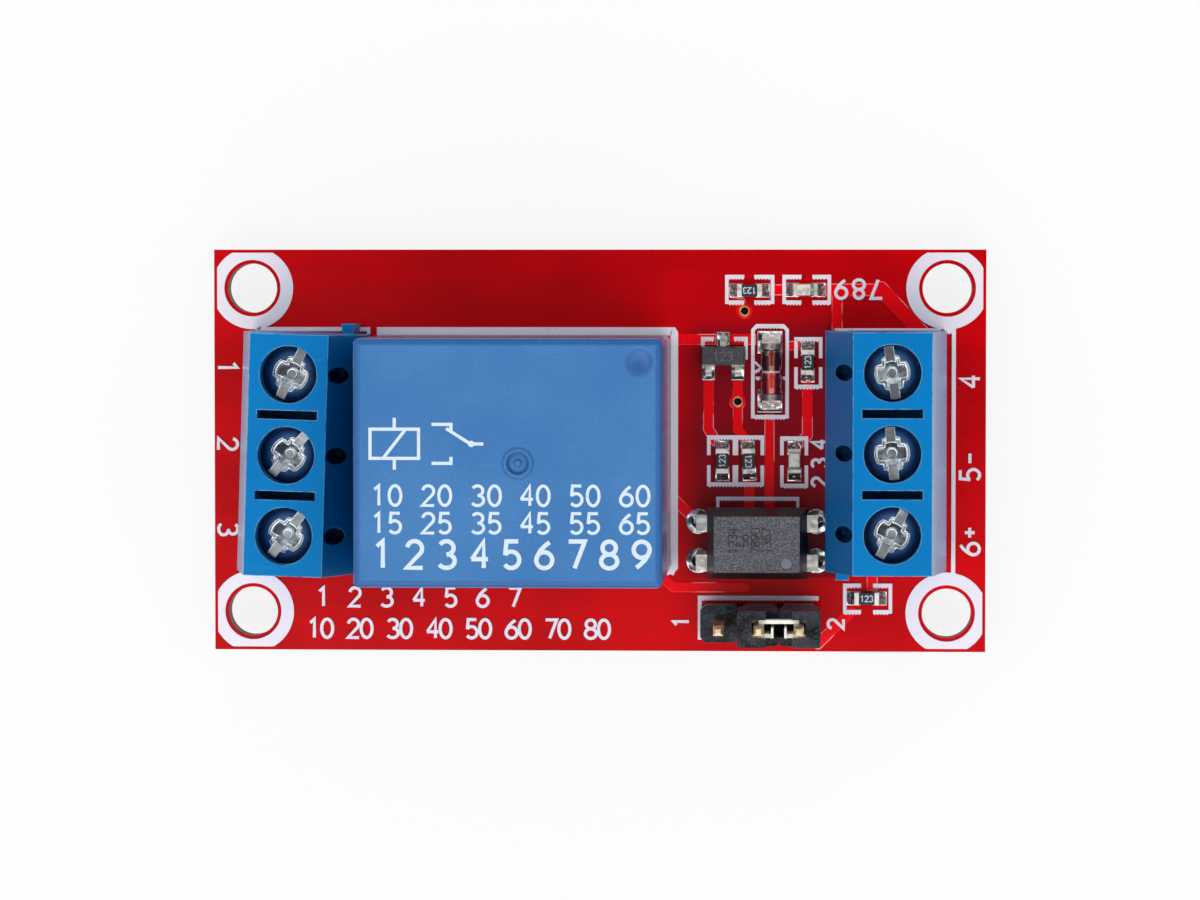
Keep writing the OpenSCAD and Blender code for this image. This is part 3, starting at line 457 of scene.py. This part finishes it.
# Brackets round the five resistors and the two lamps
marks += brackets(8.17, 11.35, 9.49, 11.37, 9.40, 10.05)
marks += brackets(11.87, 15.01, 9.49, 11.37, 13.1, 13.8)
marks += brackets(12.64, 14.46, 4.05, 7.35, 5.41, 5.99, True)
marks += brackets(7.01, 8.90, -2.27, 1.0, -0.94, -0.29, True)
marks += brackets(8.80, 10.70, -2.27, 1.0, -0.94, -0.29, True)
marks += brackets(11.74, 13.55, -2.36, 0.94, -0.94, -0.29, True)
marks += brackets(15.82, 18.99, -10.52, -8.58, 16.98, 17.76)
# Box and bars of the diode, corners of the transistor, half boxes of optocoupler and header
marks += [line([[9.97, 2.21], [9.97, 7.80], [10.22, 8.08], [11.93, 8.08], [12.18, 7.80],
                [12.18, 2.21]], closed=True),
          line([[10.15, 4.72], [10.45, 4.72]], 0.16), line([[11.9, 4.72], [12.1, 4.72]], 0.16),
          line([[10.1, 5.75], [10.5, 5.35], [10.1, 5.1]], 0.14),
          line([[6.74, 5.9], [6.74, 7.25], [7.45, 7.25]]),
          line([[8.75, 7.25], [9.52, 7.25], [9.52, 5.9]]),
          line([[7.71, -3.75], [7.71, -3.08], [12.88, -3.08], [12.88, -3.75]], 0.2),
          line([[14.25, -9.52], [6.55, -9.52], [6.55, -12.25]], 0.25)]
# Numbers beside the terminals, the lamps and the jumper, and rows under the relay:
# the figures, where they start, their height, turn and length
rows = [("1", (-24.75, 5.75), 1.25, -90, None), ("2", (-24.75, 0.75), 1.25, -90, None),
        ("3", (-24.75, -4.8), 1.25, -90, None), ("4", (24.6, 4.1), 1.25, 90, None),
        ("5-", (24.6, -1.9), 1.25, 90, None), ("6+", (24.6, -6.7), 1.25, 90, None),
        ("789", (18.3, 11.05), 1.2, 180, 3.0), ("234", (14.75, -2.3), 0.95, 90, 3.0),
        ("1", (5.85, -11.4), 1.0, 90, None), ("2", (15.85, -11.5), 1.0, 90, None),
        ("1 2 3 4 5 6 7", (-18.3, -10.15), 1.2, 0, 13.2),
        ("10 20 30 40 50 60 70 80", (-18.9, -12.2), 1.2, 0, 19.6)]
for text, start, height, turn, length in rows:
    marks += numbers(text, start, height, 0.2, print_low, print_high, turn, length)
piece("board_print", staggered(marks, print_high), ink)


# ---- Solder and tinned metal -----------------------------------------------------------
# Lands, fillets and joints of tin-lead solder, and the tinned legs they hold. Molten
# solder sets in bright shallow waves; legs are duller and scored along.

def tin_finish(name, colour, roughness, wave, size, metal=1.0):
    """Bright soft metal in smooth waves, with a few dull grey patches."""
    made = Finish(name, colour, Metallic=metal, Roughness=roughness)
    patches = made.cloud(size * 1.7).rise(0.5, 0.72)
    made.shade(Base_Color=made.mix(colour, paint(150, 146, 146), 0.6 * patches),
               Roughness=roughness + 0.14 * patches)
    made.bump(made.cloud(size, 0.0), wave, 0.06)
    return made


tin_finish("solder", paint(240, 240, 240), 0.14, 0.10, 0.5).dress("solder_pads", "solder_joints")
# The dark reddish colour of the fillets stands in for the dark opening and red board they reflect:
# a painted reflection
fillet = tin_finish("solder_fillet", paint(150, 134, 132), 0.10, 0.16, 0.22)
x, y, _ = fillet.split(fillet.place())
# Round the diode the fillets are painted pale instead, and made rougher
diode_x, diode_y = 11.07, 5.0
pale_diode_fillets = (abs(x - diode_x) < 1.1) * (abs(y - diode_y) < 3.2)
fillet.over(paint(250, 247, 242), 0.85 * pale_diode_fillets)
fillet.shade(Roughness=0.12 + 0.34 * pale_diode_fillets)
fillet.dress("solder_fillets")
tin_finish("tinned_legs", paint(228, 226, 220), 0.30, 0.02, 0.4).dress(
    "coil_pins", "common_pin", "optocoupler_leads", "transistor_leads",
    "normally_open_contact", "normally_closed_contact")
tin_finish("tinned_ends", paint(246, 240, 228), 0.45, 0.015, 0.3, 0.7).dress("chip_ends")
tin_finish("dull_tin", paint(176, 168, 158), 0.36, 0.03, 0.3).dress("diode_caps")


# ---- Relay -----------------------------------------------------------------------------
# A closed box of blue nylon over a black base. The top is satin from the mould, with an
# ejector dimple, a gate mark and white printed figures. Inside are coil, yoke and contacts.

def moulding(name, colour, lighter, rim, grain, depth, edge, satin=0.42, gloss=0.42, patch=6.0,
             rim_share=0.6, shine=0.45):
    """Moulded plastic: soft patches, fine grain, rub marks and an edge of its own colour rim. A
    pale rim is edge wear; a rim darker than the colour is painted shade.
    Flat faces have the roughness satin, and upright ones, which slid along the mould, gloss."""
    made = Finish(name, colour, Roughness=satin, Specular_IOR_Level=shine)
    patches = made.cloud(patch, 3.0).rise(0.3, 0.7)
    rubs = made.cloud(2.2, 4.0, (0.3, 1.7, 1), 0.65).rise(0.60, 0.74)
    fine = made.cloud(grain)
    tone = made.mix(colour, lighter, 0.35 * patches + 0.25 * rubs + 0.35 * fine.rise(0.45, 0.75))
    worn = made.edges(edge) * made.cloud(0.7).rise(0.30, 0.55)
    made.shade(Base_Color=made.mix(tone, rim, rim_share * worn),
               Roughness=gloss + (satin - gloss) * made.upward() + 0.10 * rubs)
    made.bump(fine + 0.6 * made.cloud(grain * 5), depth, edge)
    return made


def middle_of(node):
    """The middle of a node's box, in mm."""
    lowest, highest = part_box(node)
    return (lowest + highest) * 500


def from_axes(finish, spots):
    """How far a point is, seen from above, from the nearest of some upright axes, in mm."""
    x, y, _ = finish.split(finish.place())
    nearest = None
    for spot in spots:
        squared = (x - spot[0]) * (x - spot[0]) + (y - spot[1]) * (y - spot[1])
        nearest = nearest.math("MINIMUM", nearest, squared) if nearest else squared
    return nearest.math("SQRT", nearest, 0.0)


relay_low, relay_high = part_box("relay_cover")
relay_middle, half_size = middle_of("relay_cover"), (relay_high - relay_low) * 500
# The darker rim colour laid along the relay's edges is painted shade
cover = moulding("relay_blue", paint(42, 108, 171), paint(74, 133, 188), paint(20, 88, 150),
                 0.10, 0.006, 0.2, gloss=0.2)
# The rounded rim, the dimple and the pit and ring round the gate mark are painted darker: painted
# shade
x, y, _ = cover.split(cover.place())
inside = (abs(x - relay_middle.x) - half_size.x).larger(abs(y - relay_middle.y) - half_size.y)
cover.over(paint(14, 80, 144), 0.75 * inside.rise(-0.52, -0.30))
from_dimple = from_axes(cover, [(relay_middle.x + 8.13, relay_middle.y + 6.27)])
from_gate = from_axes(cover, [(relay_middle.x + 0.64, relay_middle.y)])
pit_radius, ring_radius = 0.60, 0.96
cover.over(paint(18, 82, 148), 0.65 * (1 - from_dimple.rise(0.7, 0.95)))
cover.over(paint(12, 70, 134), 0.6 * (1 - abs(from_gate - pit_radius).rise(0.06, 0.2)))
cover.over(paint(14, 74, 138), 0.4 * (1 - abs(from_gate - ring_radius).rise(0.04, 0.12)))
cover.dress("relay_cover")
black = moulding("black_plastic", paint(5, 5, 7), paint(88, 90, 100), paint(120, 122, 130),
                 0.16, 0.035, 0.05, satin=0.34, gloss=0.3, patch=1.1, rim_share=0.3, shine=0.2)
black.dress("relay_base", "header_strip", "jumper_housing")
bobbin = moulding("bobbin_plastic", paint(226, 222, 208), paint(244, 242, 232),
                  paint(250, 250, 246), 0.12, 0.006, 0.1)
bobbin.dress("coil_bobbin")

wire_coat = Finish("enamelled_wire", paint(168, 78, 32), Metallic=0.8, Roughness=0.3)
wire_pitch = 0.12
wind = wire_coat.node("ShaderNodeMath", {"operation": "SINE"},
                      wire_coat.split(wire_coat.place())[2] * (2 * math.pi / wire_pitch))
# Each turn is painted lighter along its crest and darker between turns: painted highlight and
# painted shade
wire_coat.shade(Base_Color=wire_coat.mix(paint(120, 44, 16), paint(206, 112, 56), 0.5 + 0.5 * wind))
wire_coat.bump(wind + 0.3 * wire_coat.cloud(0.5), 0.015)
wire_coat.dress("coil_winding")


def plated(name, colour, roughness, grain=0.25, stretch=(1, 1, 1), depth=0.003, dull=0.3,
           edge=0.06):
    """Sheet metal with drawn or tumbled marks."""
    made = Finish(name, colour, Metallic=1.0, Roughness=roughness)
    marks_on = made.cloud(grain, 2.0, stretch)
    made.shade(Base_Color=made.mix(colour, paint(120, 124, 132), dull * marks_on.rise(0.5, 0.8)),
               Roughness=roughness + 0.12 * made.cloud(1.3).rise(0.4, 0.7))
    made.bump(marks_on, depth, edge)
    return made


plated("plated_iron", paint(176, 178, 182), 0.32, 0.2, (0.2, 2, 2)).dress(
    "coil_core", "relay_yoke", "armature")
plated("spring_bronze", paint(206, 150, 92), 0.28, 0.2, (0.2, 2, 1)).dress("contact_spring")
plated("contact_silver", paint(228, 226, 220), 0.22).dress("moving_contact")

print_white = Finish("relay_print", paint(232, 238, 244), Roughness=0.5, Specular_IOR_Level=0.3)
worn = print_white.cloud(0.3, 3.0).rise(0.58, 0.78)
print_white.shade(Base_Color=print_white.mix(paint(208, 224, 240), paint(160, 190, 218),
                                             0.55 * worn))
print_white.bump(print_white.cloud(0.1), 0.004)

# The gate mark stands 0.03 mm above the top, and the ink 0.004 mm
relay_top = relay_high.z * 1000 - 0.03
figure_low, figure_high = relay_top - 0.02, relay_top + 0.004


def top_line(path, width=0.2, closed=False):
    """A printed line on top of the relay."""
    return ribbon(path, width, figure_low, figure_high, closed)


figures = []
for text, start, height, width, length in (
        ("10 20 30", (-13.25, -2.8), 1.22, 0.19, 7.9), ("40 50 60", (-4.1, -2.8), 1.22, 0.19, 7.9),
        ("15 25 35", (-13.25, -4.5), 1.22, 0.19, 7.9), ("45 55 65", (-4.1, -4.5), 1.22, 0.19, 7.9),
        ("1 2 3 4 5 6 7 8 9", (-13.15, -6.65), 1.65, 0.27, 17.0)):
    figures += numbers(text, start, height, width, figure_low, figure_high, 0, length)
# Circuit signs of a coil and of a changeover contact
figures += [top_line([[-13.4, 0.1], [-10.4, 0.1], [-10.4, 1.9], [-13.4, 1.9]], closed=True),
            top_line([[-12.6, 0.1], [-11.2, 1.9]]),
            top_line([[-11.9, 1.9], [-11.9, 2.6]]),
            top_line([[-11.9, 0.1], [-11.9, -0.6]]),
            top_line([[-6.4, 1.0], [-7.2, 1.0], [-8.7, 1.95]]),
            top_line([[-9.6, 2.2], [-8.4, 2.2], [-8.4, 1.85]]),
            top_line([[-9.6, -0.2], [-8.4, -0.2], [-8.4, 0.2]]),
            top_line(arc(-7.15, 1.0, 0.14, 0.14, 0, 330, 12), 0.12, True)]
piece("relay_figures", staggered(figures, figure_high), print_white)


# ---- Screw terminals -------------------------------------------------------------------
# Two three-way blocks of blue polyamide. Each pole has a tinned frame, a clamp leaf and a
# nickel-plated screw whose head has a slot and a cross, sunk in a round well.

poles = [(side, pole) for side in ("output", "input") for pole in (1, 2, 3)]
screws = [f"{side}_screw_{pole}" for side, pole in poles]
screw_axes = [middle_of(name) for name in screws]
# Behind each screw, towards the middle of the board, is a hole for a test probe
probe_back = 3.03
probe_axes = []
for block in (screw_axes[:3], screw_axes[3:]):
    along = (block[2] - block[0]).normalized()
    behind = probe_back if along.y * block[0].x < 0 else -probe_back
    probe_axes += [(spot.x + behind * along.y, spot.y - behind * along.x) for spot in block]

terminal = moulding("terminal_blue", paint(0, 112, 178), paint(0, 126, 194), paint(150, 210, 232),
                    0.14, 0.004, 0.1, satin=0.24, gloss=0.35, patch=5.0, rim_share=0.75, shine=0.18)
# The steep fronts are painted pale, a painted reflection, and given a thin coat; the steep backs
# are painted darker, a painted shade
x = terminal.split(terminal.place())[0]
true_normal = terminal.node("ShaderNodeNewGeometry", {}, out="True Normal")
steep = abs(terminal.split(true_normal)[0]) > 0.8
front, back = (abs(x) > 21.2) * steep, (abs(x) < 17.3) * steep
terminal.over(paint(136, 170, 200), 0.55 * front)
terminal.shader.inputs["Coat Roughness"].default_value = 0.12
terminal.shade(Coat_Weight=0.3 * front)
terminal.over(paint(0, 54, 104), 0.5 * back)
# The walls of the screw wells and test holes get little light
well_reach, probe_reach = 1.805, 0.54
terminal.over(paint(0, 40, 84), 0.5 * (from_axes(terminal, screw_axes) < well_reach))
terminal.over(paint(0, 32, 68), 0.8 * (from_axes(terminal, probe_axes) < probe_reach))
terminal.dress("output_housing", "input_housing")
plated("tinned_brass", paint(206, 204, 192), 0.3, 0.25, (1, 1, 0.3)).dress(
    "output_contact_frames", "input_contact_frames")
plated("clamp_metal", paint(208, 206, 196), 0.3, 0.25, (0.3, 1, 1)).dress(
    *[f"{side}_clamp_{pole}" for side, pole in poles])
nickel = plated("screw_nickel", paint(242, 250, 255), 0.13, 0.6, (1, 1, 1), 0.004, 0.10, 0.07)
# The dome is painted darker, standing in for the dark reflections it shows: a painted reflection.
# The pressed slot and cross keep the bright nickel
z = nickel.split(nickel.place())[2]
recess_depth = 0.405
recess_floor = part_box("output_screw_2")[1].z * 1000 - recess_depth
painted_dome_reflection = (z > recess_floor) * from_axes(nickel, screw_axes).rise(1.1, 1.6)
nickel.over(paint(96, 112, 142), 0.95 * painted_dome_reflection)
nickel.dress(*screws)


# ---- Pin header and jumper -------------------------------------------------------------
# Three square gilded pins in a strip of black plastic. The jumper bridges two of them with
# a folded spring of bright metal, seen through the slot in its cap.

plated("pin_metal", paint(250, 228, 184), 0.3, 0.3).dress("header_pins")
# The spring is a flat white, not metal, standing in for the bright reflection of its metal: a
# painted highlight
spring_painted_shine = Finish("jumper_spring", paint(252, 250, 240), Metallic=0.0, Roughness=0.35)
spring_painted_shine.shade(Base_Color=spring_painted_shine.mix(paint(255, 255, 250), paint(244, 238, 220),
                                   spring_painted_shine.cloud(0.5).rise(0.5, 0.8)))
spring_painted_shine.bump(spring_painted_shine.cloud(0.3), 0.004, 0.05)
spring_painted_shine.dress("jumper_clip")


# ---- Optocoupler and transistor --------------------------------------------------------
# Transfer-moulded epoxy packages on bent legs: a four-legged one of dark grey, and a
# three-legged switch. The top of each carries faint lasered numbers.

def epoxy(name, colour, speck, side, grain):
    """Filled epoxy: a grainy sparkling top, and darker polished slopes all round it."""
    made = Finish(name, colour, Roughness=0.4, Specular_IOR_Level=0.5)
    grains = made.cloud(grain)
    flat = made.upward()
    made.shade(Base_Color=made.mix(side, made.mix(colour, speck, grains.rise(0.42, 0.72)), flat),
               Roughness=0.36 + 0.14 * flat)
    made.bump(grains, 0.010, 0.06)
    return made


opto = epoxy("moulded_grey", paint(68, 67, 75), paint(128, 126, 137), paint(14, 14, 16), 0.075)
# The round mark of the first leg is smooth and paler
first_leg_mark = from_axes(opto, [(12.18, -7.1)]) < 0.3464
opto.over(paint(128, 130, 142), first_leg_mark)
opto.dress("optocoupler_body")
switch = epoxy("moulded_black", paint(52, 52, 56), paint(88, 88, 92), paint(40, 40, 43), 0.09)
switch.dress("transistor_body")


def top_of(node):
    """The height of a node's top face, in mm."""
    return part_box(node)[1].z * 1000


def centred(text, middle, height, width, top, turn, lift=0.004):
    """Numbers set about their middle on a face at height top."""
    step = 0.75 * height
    length = step * (len(text) - 1) + 0.6 * height
    angle = math.radians(turn)
    along = np.array([math.cos(angle), math.sin(angle)])
    up = np.array([-math.sin(angle), math.cos(angle)])
    start = np.array(middle) - along * length / 2 - up * height / 2
    return numbers(text, start, height, width, top - 0.02, top + lift, turn, length)


faint = Finish("lasered_grey", paint(34, 33, 37), Roughness=0.3)
faint.shade(Base_Color=faint.mix(paint(20, 20, 23), paint(48, 46, 52), faint.cloud(0.2)))
faint.bump(faint.cloud(0.1), 0.004)
opto_top = top_of("optocoupler_body")
lasered = []
for place, text in enumerate(("1234", "56", "7890", "1357")):
    lasered += centred(text, (8.75 + 0.72 * place, -5.6), 0.56, 0.075, opto_top, 90, 0.003)
piece("optocoupler_figures", lasered, faint)
pale = Finish("lasered_pale", paint(104, 104, 108), Roughness=0.5)
pale.shade(Base_Color=pale.mix(paint(92, 92, 96), paint(120, 120, 124), pale.cloud(0.2)))
pale.bump(pale.cloud(0.1), 0.004)
transistor_top = top_of("transistor_body")
lasered = centred("123", (8.05, 6.12), 0.58, 0.05, transistor_top, 0, 0.003)
piece("transistor_figures", lasered, pale)


# ---- Diode -----------------------------------------------------------------------------
# Two beads of amber glass between tinned caps. Each shows a metal stud through it, with dark sides
# of painted shade, and the crystal sits at the waist where the beads are fused, under a painted
# highlight.

glass = Finish("amber_glass", paint(196, 62, 20), Roughness=0.05, Specular_IOR_Level=0.7,
               Coat_Weight=0.8, Coat_Roughness=0.03)
x, y, _ = glass.split(glass.place())
stud_x, waist_y = 11.17, 5.12
upper = (y - waist_y).rise(-0.04, 0.04)
# The orange middle over the stud and the dark sides paint what the curved glass shows: the dark
# sides are painted shade
core = glass.mix(paint(214, 62, 38), paint(132, 46, 22), upper)
painted_dark_sides = glass.mix(paint(88, 6, 4), paint(46, 12, 6), upper)
streaks = glass.cloud(0.5).rise(0.5, 0.7)
tone = glass.mix(core, painted_dark_sides, abs(x - stud_x).rise(0.14, 0.34) + 0.25 * streaks)
# A pale ring at the waist is a painted highlight
painted_waist_glint = 1 - abs(y - waist_y).rise(0.03, 0.09)
glass.shade(Base_Color=glass.mix(tone, paint(236, 206, 200), 0.8 * painted_waist_glint))
glass.bump(glass.cloud(0.8), 0.004)
glass.dress("diode_glass")
plated("slug_metal", paint(196, 120, 70), 0.3).dress("diode_slugs")


# ---- Resistors -------------------------------------------------------------------------
# Ceramic chips with a black glaze on top and tinned ends, soldered flat on their lands.
# The value is printed on the glaze as a white number.

# Each resistor and the turn of its number, in degrees
resistors = {"resistor_1": 180, "resistor_2": 90, "resistor_3": 90, "resistor_4": -87,
             "resistor_5": 0}
glaze = Finish("resistor_glaze", paint(20, 20, 22), Roughness=0.3)
glaze.shade(Base_Color=glaze.mix(paint(24, 24, 27), paint(58, 58, 63), glaze.cloud(0.15, 3.0)))
glaze.bump(glaze.cloud(0.2), 0.006, 0.04)
glaze.dress(*resistors)
values = []
for name, turn in resistors.items():
    values += centred("123", middle_of(name).xy, 0.38, 0.07, top_of(name), turn)
piece("resistor_figures", values, print_white)


# ---- Lamps -----------------------------------------------------------------------------
# Two chip lamps: a white ceramic tray with a clear lens over it, soldered at both ends
# like the resistors.

tray = Finish("lamp_white", paint(232, 232, 226), Roughness=0.5)
tray.shade(Base_Color=tray.mix(paint(238, 238, 230), paint(206, 206, 196), tray.cloud(0.3)))
tray.bump(tray.cloud(0.1), 0.004, 0.04)
tray.dress("power_lamp_base", "relay_lamp_base")
lens = Finish("lamp_lens", paint(206, 220, 200), Roughness=0.12, Coat_Weight=0.5)
clear = lens.mix(paint(240, 238, 224), paint(196, 190, 172), lens.cloud(0.3, 3.0).rise(0.45, 0.7))
# One end of each lamp shows its green base through the lens
x, y, _ = lens.split(lens.place())
band = 0.24
right_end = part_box("power_lamp_lens")[1].x * 1000 - band
lower_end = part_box("relay_lamp_lens")[0].y * 1000 + band
ends = (x > right_end) + (y < lower_end)
blotches = lens.cloud(0.3, 1.0).rise(0.30, 0.50)
lens.shade(Base_Color=lens.mix(clear, paint(20, 120, 84), 0.85 * ends * blotches))
lens.bump(lens.cloud(0.3), 0.01, 0.1)
lens.dress("power_lamp_lens", "relay_lamp_lens")


# ---- Floor, light and camera -----------------------------------------------------------
# The board lies on a wide white table in a tent of white cloth, open above where the camera
# looks in and darker to the left and right. One soft lamp stands towards the lower edge.

floor_finish = Finish("white_table", (0.82, 0.82, 0.82, 1), Roughness=0.9)
rays = floor_finish.node("ShaderNodeLightPath", {}).socket.node
seen = Value(floor_finish, rays.outputs["Is Camera Ray"])
for kind in ("Glossy", "Transmission"):
    seen = seen + Value(floor_finish, rays.outputs[f"Is {kind} Ray"])
glow = floor_finish.node("ShaderNodeEmission", {}, Color=(1, 1, 1, 1), Strength=1.0)
blend = floor_finish.node("ShaderNodeMixShader", {}, 0.85 * seen)
floor_finish.tree.links.new(floor_finish.shader.outputs[0], blend.socket.node.inputs[1])
floor_finish.tree.links.new(glow.socket, blend.socket.node.inputs[2])
floor_finish.tree.links.new(blend.socket, floor_finish.tree.nodes["Material Output"].inputs[0])
mesh = bpy.data.meshes.new("table")
# The table is 4 m wide, and lies 0.02 mm under the lowest solder joint
half, low = 2, cad_box[0][2] - 0.00002
mesh.from_pydata([(-half, -half, low), (half, -half, low), (half, half, low), (-half, half, low)],
                 [], [(0, 1, 2, 3)])
mesh.materials.append(floor_finish.material)
table = bpy.data.objects.new("table", mesh)
bpy.context.collection.objects.link(table)

world = bpy.data.worlds.new("tent")
world.use_nodes = True
bpy.context.scene.world = world
tent = Nodes(world.node_tree)
direction = tent.node("ShaderNodeTexCoord", {}, out="Generated")
opening = np.array([0.06, 0.30, 1.0])
facing = tent.node("ShaderNodeVectorMath", {"operation": "DOT_PRODUCT"}, direction,
                   tuple(opening / np.linalg.norm(opening)), out="Value")
# The opening is dark to 14 degrees from its middle, and the cloth is full white from 40
dark_to, white_from = math.radians(14), math.radians(40)
closed = 1 - facing.rise(math.cos(white_from), math.cos(dark_to))
aside, _, above = tent.split(direction)
walls = (0.35 + 1.9 * above.rise(0.25, 0.80)) * (1 - 0.4 * abs(aside).rise(0.4, 0.9))
cloth = world.node_tree.nodes["Background"]
cloth.inputs["Color"].default_value = (1, 1, 1, 1)
tent.feed(cloth.inputs["Strength"], 0.02 + closed * walls)

lamp_data = bpy.data.lights.new("soft_lamp", "AREA")
lamp_data.shape = "RECTANGLE"
lamp_data.size, lamp_data.size_y = 0.5, 0.35
lamp_data.energy = 0.4
lamp = bpy.data.objects.new("soft_lamp", lamp_data)
lamp.location = (-0.12, -0.42, 0.5)
bpy.context.collection.objects.link(lamp)


def aim_at(thing, target, upward):
    """Turns a camera or lamp to look from its place at target, with its top towards upward."""
    ahead = np.array(target) - np.array(thing.location)
    ahead /= np.linalg.norm(ahead)
    right = np.cross(ahead, upward)
    right /= np.linalg.norm(right)
    frame_axes = np.eye(4)
    frame_axes[:3, 0], frame_axes[:3, 1], frame_axes[:3, 2] = right, np.cross(right, ahead), -ahead
    frame_axes[:3, 3] = thing.location
    thing.matrix_world = Matrix(frame_axes.tolist())


aim_at(lamp, (0, 0, 0), (0, 1, 0))
# The camera hangs 0.3 m over the board, and looks down on it a few degrees from upright
camera_data = bpy.data.cameras.new("camera")
camera_data.lens = 139.2
camera_data.sensor_width = 36
camera = bpy.data.objects.new("camera", camera_data)
camera.location = (0.014, 0.012, 0.3016)
bpy.context.collection.objects.link(camera)
aim_at(camera, (0.000078, 0.00003, 0.0016), (0, 1, 0))
bpy.context.scene.camera = camera
bpy.context.scene.view_settings.view_transform = "Standard"
